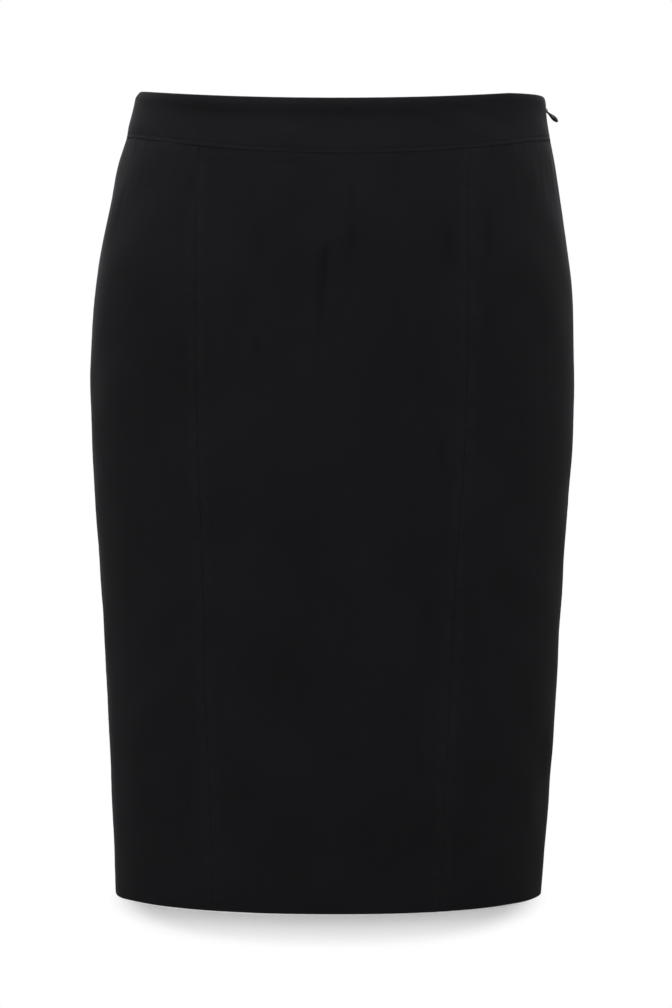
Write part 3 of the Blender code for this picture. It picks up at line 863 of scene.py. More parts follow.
@dataclass(frozen=True)
class Cloth:
    """The crepe's thickness and how its seams are finished, in millimetres."""

    thickness: float = 0.75
    allowance: float = 8.0
    allowance_ply: float = 0.6
    allowance_edge: float = 0.35
    lip_radius: float = 0.34
    valley_depth: float = 0.26
    valley_width: float = 2.7
    valley_unevenness: float = 0.35
    valley_lengths: Series = (41.0, 73.0, 118.0)
    pinch_depth: float = 0.22
    pinch_width: float = 1.3
    plateau_lift: float = 0.12
    # strength of the painted sheen over pressed allowances
    polish: float = 0.46
    pucker_height: float = 0.14
    pucker_reach: float = 6.0
    pucker_lengths: Series = (7.3, 10.9, 16.3, 27.0)
    press_wander: Series = (35.0, 60.0, 95.0)
    press_lengths: Series = (26.0, 45.0, 80.0)
    press_line_lengths: Series = (12.0, 21.0, 37.0)

    def seam_relief(self, distance: Array, along: Array, seed: int, strength: Array | float = 1.0) -> Array:
        """How the face bends beside a sewn seam.

        A rolled lip, a narrow pinch in a soft valley that the seam pulls in, an uneven pucker that
        dies away from the seam, and the faint step over the edge of the pressed-open allowance.

        Args:
            distance: Distance from the seam's edge.
            along: Distance along the seam.
            seed: Picks the pucker. Both sides of a seam use the same one.
            strength: How much of the valley and pinch there is. A topstitched seam lies flatter.

        Returns:
            How far the face moves out.
        """
        uneven = self.valley_unevenness * ripple(along, seed + VALLEY_SEED, self.valley_lengths)
        pull = self.valley_depth * (1.0 + uneven)
        valley = -strength * (pull * hump(distance, 0.0, self.valley_width)
                              + self.pinch_depth * hump(distance, 0.0, self.pinch_width))
        pucker = (self.pucker_height * ripple(along, seed, self.pucker_lengths)
                  * hump(distance, 0.0, self.pucker_reach))
        plateau = self.plateau_lift * (1.0 - ease(distance, self.allowance - 1.4, self.allowance + 0.8))
        lip = rolled(distance, self.lip_radius) * (0.4 + 0.6 * strength)
        return valley + pucker + plateau - lip

    def pressed(self, distance: Array, along: Array, seed: int) -> Array:
        """How much painted sheen lies over a seam's allowance, standing for the polish that the iron leaves
        there.

        An uneven band as wide as the allowance, and a broken line along it nearer the seam.

        Args:
            distance: Distance from the seam's edge.
            along: Distance along the seam.
            seed: Picks the unevenness.

        Returns:
            Painted sheen, about 0 to 1.
        """
        wander = ripple(along, seed + WANDER_SEED, self.press_wander)
        band = 1.0 - ease(distance, self.allowance - 1.3 + 0.3 * wander, self.allowance + 0.5 + 0.3 * wander)
        line = hump(distance, 3.2 + 0.8 * wander, 1.0)
        return (self.polish * band * (1.0 + 0.4 * ripple(along, seed + PRESS_SEED, self.press_lengths))
                + 0.6 * self.polish * line
                * (0.7 + 0.6 * ripple(along, seed + PRESS_LINE_SEED, self.press_line_lengths)))

    def allowance_step(self, distance: Array, width: float) -> Array:
        """How far a turned-in ply stands inside the cloth, out to its raw edge."""
        return self.allowance_ply * (1.0 - ease(distance, width, width + self.allowance_edge))


CREPE = Cloth()
WAIST_STRENGTH = 0.3
SEAM_COLUMNS = (0.0, 0.08, 0.2, 0.34, 0.6, 1.0, 1.5, 2.1, 2.8, 3.6, 4.5, 5.5, 6.5, 7.3, 8.0, 8.35, 9.2, 10.4)
TOP_ROWS = (0.0, 0.08, 0.2, 0.34, 0.6, 1.0, 1.6, 2.4, 3.4, 4.6, 6.0, 7.2, 8.0, 8.35, 9.4, 11.0)
HEM_ROWS = (0.0, 0.12, 0.3, 0.55, 0.85, 1.3, 2.0, 3.0, 4.4, 6.2, 8.2, 10.4, 12.6, 14.8, 17.0, 19.2, 21.4, 23.6,
            25.8, 28.0, 30.0, 31.6, 32.0, 32.4, 33.6, 35.6)
COLUMN_SPACING = 1.5
ROW_SPACING = 2.8
PANEL_LENGTH = 535.0
WAIST_SEED = 26


def flat_cut(grid: ClothGrid) -> tuple[Pair, float]:
    """Measure what shows of a piece's cut: its widest row and longest column, and its area, in metres.

    Args:
        grid: The piece's layout.

    Returns:
        Width and length, and the area.
    """
    width = np.linalg.norm(np.diff(grid.point, axis=1), axis=-1).sum(axis=1).max()
    length = np.linalg.norm(np.diff(grid.point, axis=0), axis=-1).sum(axis=0).max()
    across = grid.point[1:, 1:] - grid.point[:-1, :-1]
    down = grid.point[1:, :-1] - grid.point[:-1, 1:]
    area = 0.5 * np.linalg.norm(np.cross(across, down), axis=-1).sum()
    flat = (round(float(width) * MM, 3), round(float(length) * MM, 3))
    return flat, min(round(float(area) * MM * MM, 4), flat[0] * flat[1])


@dataclass(frozen=True)
class Dart:
    """A back dart, a stitched pinch that closes to nothing at its tip."""

    top_x: float
    tip_x: float
    length: float = 110.0
    groove: float = 0.5
    groove_width: float = 0.75
    valley: float = 0.3
    valley_width: float = 3.2
    tip_swell: float = 0.9
    tip_reach: float = 26.0

    def relief(self, grid: ClothGrid) -> Array:
        """How the dart moves the face: a fine groove in a soft valley, and a low swell past the tip.

        Args:
            grid: The panel's layout.

        Returns:
            Distances out.
        """
        share = np.clip(grid.from_top / self.length, 0.0, 2.0)
        centre_x = self.top_x + (self.tip_x - self.top_x) * share
        line = FORM.point(FORM.angle_of(centre_x, grid.level, at_back=True), grid.level)
        aside = np.linalg.norm((grid.point - line)[..., :2], axis=-1)
        fade = 1.0 - ease(share, 0.55, 1.0)
        pinch = -(self.groove * hump(aside, 0.0, self.groove_width)
                  + self.valley * hump(aside, 0.0, self.valley_width)) * fade
        swell = self.tip_swell * hump(grid.from_top, self.length * 1.12, self.tip_reach) * hump(
            aside, 0.0, self.tip_reach)
        return pinch + swell


@dataclass(frozen=True)
class PanelCut:
    """One panel: its name, its edges, and the solid that it stands for."""

    name: str
    solid: str
    first: Edge
    last: Edge
    darts: tuple[Dart, ...] = ()


@dataclass
class Panels:
    """The five panels below the waistband."""

    material: Material
    drape: Drape
    hem_turn: float = 32.0
    hem_radius: float = 0.8
    low_pull_loss: float = 0.5
    low_pull_levels: Pair = (400.0, 500.0)
    hem_prick_depth: float = 0.16
    hem_prick_pitch: float = 9.0
    hem_prick_inset: float = 3.0
    hem_prick_width: float = 2.4
    hem_line_depth: float = 0.07
    hem_line_width: float = 4.0
    hem_ply_share: float = 0.8
    slit_facing: float = 30.0
    facing_rise: float = 12.0
    drape_start: float = 11.0
    back_radius: float = 0.3
    rub_strength: float = 0.4
    rub_width: float = 0.8
    cuts: tuple[PanelCut, ...] = (
        PanelCut("panel_front_left", "front_side_left", Edge.ZIP_FRONT, Edge.LEFT_PRINCESS),
        PanelCut("panel_front_centre", "front_centre", Edge.LEFT_PRINCESS, Edge.RIGHT_PRINCESS),
        PanelCut("panel_front_right", "front_side_right", Edge.RIGHT_PRINCESS, Edge.RIGHT_SIDE),
        PanelCut("panel_back_right", "back_right", Edge.RIGHT_SIDE, Edge.CENTRE_BACK, (Dart(-80.0, -76.0),)),
        PanelCut("panel_back_left", "back_left", Edge.CENTRE_BACK, Edge.ZIP_BACK, (Dart(79.0, 74.0),)),
    )

    def rows(self) -> Rows:
        """Rows that every panel shares, so that neighbours meet row by row."""
        return Rows.graded(TOP_ROWS, HEM_ROWS, PANEL_LENGTH, ROW_SPACING)

    def edge_relief(self, grid: ClothGrid, edge: Edge, distance: Array) -> Array:
        """The face beside one side edge: a sewn seam, or a plain fold where the slit opens.

        Args:
            grid: The panel's layout.
            edge: The edge.
            distance: Distance from that edge.

        Returns:
            Distances out.
        """
        pull = 1.0 - self.low_pull_loss * ease(-grid.level, *self.low_pull_levels)
        sewn = CREPE.seam_relief(distance, -grid.level, edge.seed, pull)
        if edge is not Edge.CENTRE_BACK:
            return sewn
        in_slit = ease(FORM.hem_height + FORM.slit_length - grid.level, -6.0, 6.0)
        fold = -rolled(distance, self.hem_radius)
        return sewn * (1.0 - in_slit) + fold * in_slit

    def ply_width(self, edge: Edge, level: Array) -> Array:
        """Width of the ply turned in at a side edge: the seam's allowance, or the facing along the slit.

        Args:
            edge: The edge.
            level: Heights along it.

        Returns:
            Widths.
        """
        allowance = np.full_like(level, CREPE.allowance)
        if edge is not Edge.CENTRE_BACK:
            return allowance
        in_slit = ease(FORM.hem_height + FORM.slit_length + self.facing_rise - level, 0.0, 1.0)
        return allowance + (self.slit_facing - allowance) * in_slit

    def hem_relief(self, grid: ClothGrid) -> Array:
        """The face near the hem: its rolled fold, and the faint pricks of the blind stitches.

        Args:
            grid: The panel's layout.

        Returns:
            Distances out.
        """
        pricks = np.clip(np.cos(FULL_TURN * grid.from_first / self.hem_prick_pitch), 0.0, 1.0) ** 6
        row = hump(grid.from_bottom, self.hem_turn - self.hem_prick_inset, self.hem_prick_width)
        soft_line = self.hem_line_depth * hump(grid.from_bottom, self.hem_turn - 1.0, self.hem_line_width)
        return -rolled(grid.from_bottom, self.hem_radius) - soft_line - self.hem_prick_depth * row * pricks

    def build(self, cut: PanelCut) -> tuple[ClothGrid, Array]:
        """Build one panel.

        Args:
            cut: Which panel.

        Returns:
            The panel's layout, and how far its inner face stands off the form.
        """
        grid = lay_out(cut.first, cut.last, self.rows(), on_band=False, near=SEAM_COLUMNS, spacing=COLUMN_SPACING)
        # shaded is painted shade for the crease bottoms
        drape, shaded = self.drape.relief(grid)
        drape = drape * ease(grid.from_top, 0.0, self.drape_start)
        for dart in cut.darts:
            drape = drape + dart.relief(grid)
        waist = CREPE.seam_relief(grid.from_top, grid.angle * GIRTH, WAIST_SEED, WAIST_STRENGTH)
        face = (drape + waist + self.hem_relief(grid)
                + self.edge_relief(grid, cut.first, grid.from_first)
                + self.edge_relief(grid, cut.last, grid.from_last))

        plies = np.maximum.reduce([
            CREPE.allowance_step(grid.from_first, self.ply_width(cut.first, grid.level)),
            CREPE.allowance_step(grid.from_last, self.ply_width(cut.last, grid.level)),
            CREPE.allowance_step(grid.from_top, CREPE.allowance)])
        plies = plies + CREPE.allowance_step(grid.from_bottom, self.hem_turn) * self.hem_ply_share
        edge = grid.from_edge()
        back = drape - CREPE.thickness - plies + rolled(edge, self.back_radius) * 0.5
        # painted sheen over the pressed allowances, added to the wear along folded edges
        pressed = (CREPE.pressed(grid.from_first, -grid.level, cut.first.seed)
                   + CREPE.pressed(grid.from_last, -grid.level, cut.last.seed))
        rubbed = np.clip(hump(edge, 0.0, self.rub_width) * self.rub_strength + pressed, 0.0, 1.0)
        panel = shell_mesh(cut.name, grid, face, back, {RUBBED_AND_PAINTED_SHEEN: rubbed, PAINTED_SHADE: shaded})
        finish_piece(panel, GARMENT, CLOTH_SLOT, self.material, cut.solid)
        flat, area = flat_cut(grid)
        return grid, back


# ------ waistband

BAND_ROWS_TOP = (0.0, 0.12, 0.3, 0.55, 0.85, 1.2, 1.7, 2.3, 3.1, 4.0, 5.0, 6.0, 7.0, 8.0, 9.0, 10.0, 11.0, 12.0,
                 13.0, 14.2, 15.6)
BAND_ROWS_BOTTOM = (0.0, 0.1, 0.25, 0.45, 0.7, 1.0, 1.4, 1.8, 2.2, 2.6, 3.0, 3.5, 4.2, 5.0, 6.2, 7.6)
BAND_COLUMNS = (0.0, 0.15, 0.4, 0.75, 1.2, 1.8, 2.6, 3.6, 4.8, 6.2, 8.0, 10.0, 12.0)
BAND_SPACING = 2.2
BAND_LENGTH = 36.0


@dataclass
class Waistband:
    """The shaped waistband, cut double and folded over at its top edge, in a front and a back piece."""

    material: Material
    edge_radius: float = 1.15
    top_roll: tuple[Pair, ...] = ((0.0, -0.95), (1.2, -0.62), (3.0, -0.26), (5.0, -0.05), (6.5, 0.0), (60.0, 0.0))
    hollow_depth: float = 0.65
    hollow_start: float = 5.5
    hollow_bottom: float = 12.0
    hollow_tail: float = 22.0
    hip_bulge: float = 0.85
    hip_bulge_place: Pair = (163.0, 23.0)
    hip_roll: float = 1.7
    hip_roll_place: Pair = (176.0, 24.0)
    proud: float = 0.1
    thickness: float = 2.1
    lip_radius: float = 0.24
    stitch_row: float = 2.4
    groove_depth: float = 0.16
    groove_width: float = 0.75
    end_radius: float = 1.0
    end_dip: float = 0.16
    pucker_height: float = 0.09
    top_pucker_height: float = 0.07
    top_pucker_lengths: Series = (8.3, 13.0, 22.0)
    top_pucker_seed: int = 31
    swell_height: float = 0.16
    swell_lengths: Series = (46.0, 71.0, 103.0)
    swell_seed: int = 32

    def hollow_strength(self, angle: Array) -> Array:
        """How strong the hollow under the top edge is round the waist.

        It is full over the middle of the front, gone towards the zip, weaker at the right hip, and
        comes and goes at the back.

        Args:
            angle: Ring angles.

        Returns:
            Strengths from 0 to 1.
        """
        degrees = np.degrees(angle)
        knots = np.array([0, 22, 38, 52, 66, 80, 100, 124, 133, 141, 150, 180, 212, 240, 270, 300, 330, 360.0])
        values = np.array([0, 0, .08, .35, .62, .9, 1.0, 1.0, .85, .45, .1, .15, .45, .6, .35, .62, .25, 0])
        return smooth_curve(knots, values, degrees)

    def face_off(self, grid: ClothGrid) -> Array:
        """How far the band's face stands off the form.

        From the top: a fold of the edge's radius, a soft roll, the hollow, which drops 8 to 12 mm
        down and recovers slowly, and a lower edge that stands proud of the panels and carries the
        groove of the edge stitching. Over the right hip the band bulges a little and its top leans in.

        Args:
            grid: The piece's layout.

        Returns:
            Distances out.
        """
        depth = grid.from_top + grid.from_bottom
        roll = smooth_curve(*np.array(self.top_roll).T, grid.from_top)
        hollow = self.hollow_depth * self.hollow_strength(grid.angle) * (
            ease(grid.from_top, self.hollow_start, self.hollow_bottom)
            - np.clip((grid.from_top - self.hollow_bottom) / self.hollow_tail, 0.0, 1.0))
        proud = self.proud * ease(grid.from_top / depth, 0.45, 1.0)
        degrees = np.degrees(grid.angle)
        bulge = self.hip_bulge * hump(degrees, *self.hip_bulge_place) * (
            ease(grid.from_top, 8.0, 24.0) - ease(grid.from_bottom, 9.0, 0.0))
        lean = self.hip_roll * hump(degrees, *self.hip_roll_place) * ease(grid.from_top, 7.0, 0.0) ** 1.5
        groove = self.groove_depth * hump(grid.from_bottom, self.stitch_row, self.groove_width)
        along = grid.angle * GIRTH
        pucker = (self.pucker_height * ripple(along, WAIST_SEED, CREPE.pucker_lengths)
                  * hump(grid.from_bottom, 0.0, 5.0))
        top_pucker = (self.top_pucker_height * ripple(along, self.top_pucker_seed, self.top_pucker_lengths)
                      * hump(grid.from_top, 0.0, 4.0))
        slow = (self.swell_height * ripple(along + 2.2 * grid.from_top, self.swell_seed, self.swell_lengths)
                * ease(grid.from_top, 3.0, 14.0))
        ends = grid.from_ends()
        return (roll - hollow + bulge - lean + proud - groove + pucker + top_pucker + slow
                - rolled(grid.from_top, self.edge_radius) - rolled(grid.from_bottom, self.lip_radius)
                - rolled(ends, self.end_radius) - self.end_dip * hump(ends, 0.0, 2.6))

    def inside_off(self, grid: ClothGrid, face: Array) -> Array:
        """How far the band's inner face stands off the form, given where its outer face is.

        Args:
            grid: The piece's layout.
            face: How far its face stands off.

        Returns:
            Distances out.
        """
        ends = grid.from_ends()
        inside = (-self.thickness + 0.3 * ease(grid.from_bottom, 14.0, 0.0)
                  - 0.35 * self.hollow_strength(grid.angle) * hump(grid.from_top, self.hollow_bottom, 7.0)
                  + 0.12 * hump(grid.from_bottom, self.stitch_row, self.groove_width))
        back = (np.minimum(inside, face - 1.1) + rolled(grid.from_top, self.edge_radius)
                + rolled(grid.from_bottom, 0.5) + rolled(ends, 0.7))
        return np.minimum(back, face - 0.05)

    def build(self, name: str, solid: str, first: Edge, last: Edge) -> None:
        """Build one piece of the band.

        Args:
            name: Name of the piece.
            solid: The solid that it stands for.
            first: Its edge at the smaller ring angle.
            last: Its edge at the larger ring angle.
        """
        rows = Rows.graded(BAND_ROWS_TOP, BAND_ROWS_BOTTOM, BAND_LENGTH, BAND_SPACING)
        grid = lay_out(first, last, rows, on_band=True, near=BAND_COLUMNS, spacing=BAND_SPACING)
        face = self.face_off(grid)
        back = self.inside_off(grid, face)
        edge = grid.from_edge()
        rubbed = np.clip(hump(edge, 0.0, 1.0) * 0.5 + 0.9 * hump(grid.from_top, 0.0, 2.4), 0.0, 1.0)
        # painted shade in the hollow under the band's top edge
        shaded = 0.75 * self.hollow_strength(grid.angle) * hump(grid.from_top, self.hollow_bottom, 4.5)
        band = shell_mesh(name, grid, face, back, {RUBBED_AND_PAINTED_SHEEN: rubbed, PAINTED_SHADE: shaded})
        finish_piece(band, GARMENT, CLOTH_SLOT, self.material, solid)
        flat, area = flat_cut(grid)

    def stitch_line(self, pitch: float) -> tuple[ClothGrid, Array]:
        """Places of the edge stitches: evenly spaced round the band, a fixed distance above its seam.

        Args:
            pitch: Distance from stitch to stitch.

        Returns:
            The stitches' middles as a one-row layout, and each one's unit direction along the seam.
        """
        start, samples = 0.03, 6001
        fine = np.linspace(start, FULL_TURN - start, samples)
        level = FORM.waist_seam(fine) + self.stitch_row
        distance = run_length(FORM.point(fine, level))
        place = np.arange(pitch, distance[-1], pitch)
        angle = np.interp(place, distance, fine)
        level = FORM.waist_seam(angle) + self.stitch_row
        centre, outward = FORM.point(angle, level), FORM.normal(angle, level)
        along = np.gradient(centre, axis=0)
        along -= outward * np.einsum("ij,ij->i", along, outward)[:, None]
        from_zip = np.minimum(place, distance[-1] - place) + start * GIRTH
        from_side = np.abs(place - np.interp(math.pi, fine, distance))
        row = ClothGrid(angle, level, centre, outward, from_zip, from_side,
                        FORM.top_edge(angle) - level, np.full_like(level, self.stitch_row))
        return row, along / np.linalg.norm(along, axis=1, keepdims=True)


# ------ sewing

@dataclass
class Sewing:
    """Threads that show: the edge stitching of the band, inside and out, and the overlocked raw edges."""

    material: Material
    pitch: float = 2.6
    stitch: float = 2.15
    thread_radius: float = 0.13
    sunk: float = 0.35
    loop_pitch: float = 2.4
    loop_width: float = 3.6
    loop_radius: float = 0.16

    def edge_stitching(self, band: Waistband) -> None:
        """Sew one row above the waist seam, its stitches lying in the band's groove, and its underside.

        Args:
            band: The waistband.
        """
        line, along = band.stitch_line(self.pitch)
        face = band.face_off(line)
        outer = line.lifted(face + self.thread_radius * self.sunk)
        inner = line.lifted(band.inside_off(line, face) - self.thread_radius * self.sunk)
        row = stitch_mesh("edge_stitching", np.concatenate([outer, inner]), np.concatenate([along, along]),
                          np.concatenate([line.normal, -line.normal]), self.stitch, self.thread_radius)
        finish_piece(row, GARMENT, CLOTH_SLOT, self.material)

    def overlock_path(self, grid: ClothGrid, back: Array, column: Array) -> Array:
        """A zigzag over a raw edge: across and back by the loop's width, once each pitch.

        Args:
            grid: The panel's rows above its hem.
            back: How far the panel's inner face stands off the form.
            column: How far the zigzag's middle is from the panel's first edge on each row, shape (rows, 1).

        Returns:
            The thread's path, which follows the inner face at its middle and at both turns.
        """
        inner = grid.lifted(back - self.loop_radius * self.sunk)
        reach = self.loop_width / 2

        def beside(shift: float) -> Array:
            """The inner face's points a distance beside the zigzag's middle, one on each row."""
            return np.stack([read_rows(column + shift, grid.from_first, inner[..., axis])[:, 0]
                             for axis in range(3)], 1)

        middle = beside(0.0)
        distance = run_length(middle)
        step = np.arange(0.0, distance[-1], self.loop_pitch / 4)
        before, middle, after = (
            np.stack([np.interp(step, distance, line[:, axis]) for axis in range(3)], 1)
            for line in (beside(-reach), middle, beside(reach)))
        swing = np.sin(FULL_TURN * step / self.loop_pitch)[:, None]
        return middle + swing * (after - before) / 2 + swing ** 2 * ((after + before) / 2 - middle)

    def overlock(self, panels: Panels, cut: PanelCut, grid: ClothGrid, back: Array) -> None:
        """Overlock the raw edges of a panel's two turned-in plies, down to its hem.

        Args:
            panels: All the panels.
            cut: Which panel.
            grid: Its layout.
            back: How far its inner face stands off the form.
        """
        rows = grid.from_bottom.min(axis=1) > panels.hem_turn
        above = replace(grid, **{part.name: getattr(grid, part.name)[rows] for part in fields(grid)})
        total = above.from_first[:, -1:]
        inset = self.loop_width / 2
        columns = (("first", panels.ply_width(cut.first, above.level[:, :1]) - inset),
                   ("last", total - panels.ply_width(cut.last, above.level[:, -1:]) + inset))
        for label, column in columns:
            path = self.overlock_path(above, back[rows], column)
            thread = tube_mesh(f"{cut.name}_overlock_{label}", path, self.loop_radius, sides=5)
            finish_piece(thread, GARMENT, CLOTH_SLOT, self.material)


# ------ side zip

@dataclass
class SideZip:
    """The concealed zip behind the left side seam: woven tapes, nylon coil, end stop, slider and pull."""

    tape_material: Material
    coil_material: Material
    metal: Material
    tape_top: float = -11.5
    tape_bottom: float = -198.0
    tape_columns: Series = (0.35, 0.5, 0.8, 1.3, 2.2, 3.4, 4.8, 6.4, 8.0, 9.6, 10.8, 11.4, 11.8, 12.0)
    tape_row: float = 2.2
    tape_thickness: float = 0.6
    side_depth: float = 104.0
    behind_panel: float = -1.75
    behind_band: float = -2.7
    step_levels: Pair = (-44.0, -32.0)
    coil_top: float = -19.2
    coil_bottom: float = -190.0
    coil_pitch: float = 1.15
    coil_inset: float = 0.72
    coil_reach: float = 1.05
    coil_rise: float = 0.55
    coil_radius: float = 0.24
    coil_steps: int = 12
    stop_size: Triple = (1.9, 4.2, 3.2)
    slider_level: float = -13.8
    pivot_x: float = 149.558
    tape_back_x: float = 145.338
    slider_gap: float = 0.3
    slider_size: Triple = (3.6, 7.0, 9.0)
    neck_thickness: float = 1.2
    neck_radius: float = 1.55
    neck_hole: float = 1.0
    pull_slope: float = 42.7
    pull_power: float = 2.5
    pull_slot: Pair = (0.5, 2.1)
    pull_slot_half_width: float = 0.9
    pull_slot_depth: float = 3.0
    corner_radius: float = 0.12
    corner_angle: float = 50.0
    sharp_angle: float = 40.0
    pull_rings: tuple[Triple, ...] = (
        (-0.55, 1.60, 0.22), (-0.30, 1.85, 0.48), (0.30, 1.90, 0.52), (2.10, 1.80, 0.60), (3.60, 1.50, 0.80),
        (5.40, 1.75, 1.20), (7.20, 2.15, 1.55), (8.80, 2.35, 1.65), (10.20, 2.20, 1.45), (11.40, 1.55, 0.95),
        (12.20, 0.50, 0.30))

    def off_cloth(self, level: Array) -> Array:
        """How far behind the form the tapes' face lies: deeper behind the doubled band."""
        share = ease(level, *self.step_levels)
        return self.behind_panel + (self.behind_band - self.behind_panel) * share

    def tape(self, name: str, solid: str, to_back: bool) -> None:
        """Weave one tape, a strip beside the zip's line with rounded selvedges.

        Args:
            name: Name of the piece.
            solid: The solid that it stands for.
            to_back: True for the tape behind the back panel.
        """
        rows = np.arange(self.tape_top, self.tape_bottom, -self.tape_row)[:, None]
        distance = np.broadcast_to(np.array(self.tape_columns), (len(rows), len(self.tape_columns)))
        level = np.broadcast_to(rows, distance.shape)
        turn = np.arcsin((distance / self.side_depth) ** (SECTIONS.read("power", level) / 2.0))
        angle = FULL_TURN - turn[:, ::-1] if to_back else turn
        from_line = distance[:, ::-1] if to_back else distance
        grid = ClothGrid(angle, level, FORM.point(angle, level), FORM.normal(angle, level), from_line,
                         from_line, self.tape_top - level, level - self.tape_bottom)
        edge = np.minimum.reduce([from_line - from_line.min(), from_line.max() - from_line,
                                  grid.from_top, grid.from_bottom])
        middle = self.off_cloth(level) - self.tape_thickness / 2
        half = self.tape_thickness / 2 - rolled(edge, self.tape_thickness / 2) * 0.9
        strip = shell_mesh(name, grid, middle + half, middle - half, {RUBBED_AND_PAINTED_SHEEN: hump(edge, 0.0, 0.6)})
        finish_piece(strip, GARMENT, TAPE_SLOT, self.tape_material, solid)
        flat, area = flat_cut(grid)

    def coil(self, name: str, side: float, phase: float) -> None:
        """Wind one row of the coil: a flattened helix down the tape's edge, on its inner side.

        Args:
            name: Name of the piece.
            side: -1 in front of the zip's line, 1 behind it.
            phase: Where the helix starts, as an angle.
        """
        level = np.arange(self.coil_top, self.coil_bottom, -self.coil_pitch / self.coil_steps)
        turn = FULL_TURN * (self.coil_top - level) / self.coil_pitch + phase
        base = FORM.point(np.zeros_like(level), level)
        out = FORM.normal(np.zeros_like(level), level)
        off = self.off_cloth(level) - self.tape_thickness - self.coil_rise - self.coil_radius
        off = off - FORM.zip_groove(np.zeros_like(level), level) + self.coil_rise * np.sin(turn)
        path = base + out * off[:, None]
        path[:, 1] += side * self.coil_inset + self.coil_reach * np.cos(turn)
        coil = tube_mesh(name, path, self.coil_radius, sides=6)
        finish_piece(coil, GARMENT, TAPE_SLOT, self.coil_material)

    def rounded_block(self, name: str, middle: Triple, size: Triple, power: float, taper: float) -> Object:
        """Shape a block with rounded edges, a superellipsoid that narrows downwards.

        Its half sizes shrink towards each end by (1 - |v|^p)^(1/p), and each level ring is
        |x|^p + |y|^p = 1.

        Args:
            name: Name of the piece.
            middle: Its middle.
            size: Its depth, width and height.
            power: Power p, higher for squarer edges.
            taper: Share of the width that is lost at the bottom.

        Returns:
            The linked object.
        """
        v = np.sin(np.linspace(-0.5, 0.5, 25) * math.pi)[::-1]
        shrink = np.clip(1.0 - np.abs(v) ** power, 1e-4, 1.0) ** (1.0 / power)
        turn = -np.linspace(0.0, FULL_TURN, 40, endpoint=False)
        radius = round_square(turn, power)
        narrow = 1.0 - taper * (1.0 - v) / 2
        points = np.stack([middle[0] + size[0] / 2 * shrink[:, None] * np.cos(turn) * radius,
                           middle[1] + size[1] / 2 * (shrink * narrow)[:, None] * np.sin(turn) * radius,
                           np.broadcast_to(middle[2] + size[2] / 2 * v[:, None], (len(v), len(turn)))], axis=-1)
        tips = np.array([middle, middle]) + np.array([[0.0, 0.0, size[2] / 2], [0.0, 0.0, -size[2] / 2]])
        return ringed_mesh(name, points, tips)

    def block(self, name: str, low: Triple, high: Triple) -> Object:
        """Make a box between two corners, as a cutting or joining helper.

        Args:
            name: Name of the helper.
            low: Its lowest corner.
            high: Its highest corner.

        Returns:
            The linked object.
        """
        corners = np.array([[x, y, z] for x in (low[0], high[0]) for y in (low[1], high[1])
                            for z in (low[2], high[2])])
        quads = np.array([[0, 1, 3, 2], [4, 6, 7, 5], [0, 4, 5, 1], [2, 3, 7, 6], [0, 2, 6, 4], [1, 5, 7, 3]])
        return build_mesh(name, corners, quads)

    def disc(self, name: str, radius: float, thickness: float) -> Object:
        """Make a disc round the pivot, square to Y, as a cutting or joining helper.

        Args:
            name: Name of the helper.
            radius: Its radius.
            thickness: Its thickness.

        Returns:
            The linked object.
        """
        sides = 40
        turn = np.linspace(0.0, FULL_TURN, sides, endpoint=False)
        rim = np.stack([self.pivot_x + radius * np.cos(turn), np.zeros(sides),
                        self.slider_level + radius * np.sin(turn)], axis=-1)
        rings = np.stack([rim - [0, thickness / 2, 0], rim + [0, thickness / 2, 0]])
        return ringed_mesh(name, rings, np.array([ring.mean(axis=0) for ring in rings]), inside_out=True)

    def combine(self, obj: Object, *steps: tuple[str, Object]) -> None:
        """Join helpers to a piece or cut them from it, round its new corners, and keep the plain mesh.

        Args:
            obj: The piece.
            steps: What each helper does, UNION or DIFFERENCE, and the helper.
        """
        for operation, helper in steps:
            modifier = obj.modifiers.new(operation, "BOOLEAN")
            modifier.operation, modifier.solver, modifier.object = operation, "EXACT", helper
        bevel = obj.modifiers.new("round corners", "BEVEL")
        bevel.width, bevel.segments, bevel.limit_method = self.corner_radius * MM, 2, "ANGLE"
        bevel.angle_limit = math.radians(self.corner_angle)
        graph = bpy.context.evaluated_depsgraph_get()
        mesh = bpy.data.meshes.new_from_object(obj.evaluated_get(graph))
        obj.modifiers.clear()
        obj.data = mesh
        for _, helper in steps:
            bpy.data.objects.remove(helper)
        mesh.shade_smooth()
        mesh.set_sharp_from_angle(angle=math.radians(self.sharp_angle))

    def slider(self) -> None:
        """Shape the slider: a rounded body behind the tapes and a neck that holds the pull's eye."""
        depth, width, height = self.slider_size
        face_x = self.tape_back_x - self.slider_gap
        body = self.rounded_block("slider", (face_x - depth / 2, 0.0, self.slider_level), (depth, width, height),
                                  power=5.0, taper=0.22)
        neck = self.block("neck_helper", (face_x - depth / 2, -self.neck_thickness / 2,
                                          self.slider_level - self.neck_radius),
                          (self.pivot_x, self.neck_thickness / 2, self.slider_level + self.neck_radius))
        eye = self.disc("eye_helper", self.neck_radius, self.neck_thickness)
        hole = self.disc("hole_helper", self.neck_hole, self.neck_thickness * 2)
        self.combine(body, ("UNION", neck), ("UNION", eye), ("DIFFERENCE", hole))
        finish_piece(body, GARMENT, METAL_SLOT, self.metal, "zip_slider")

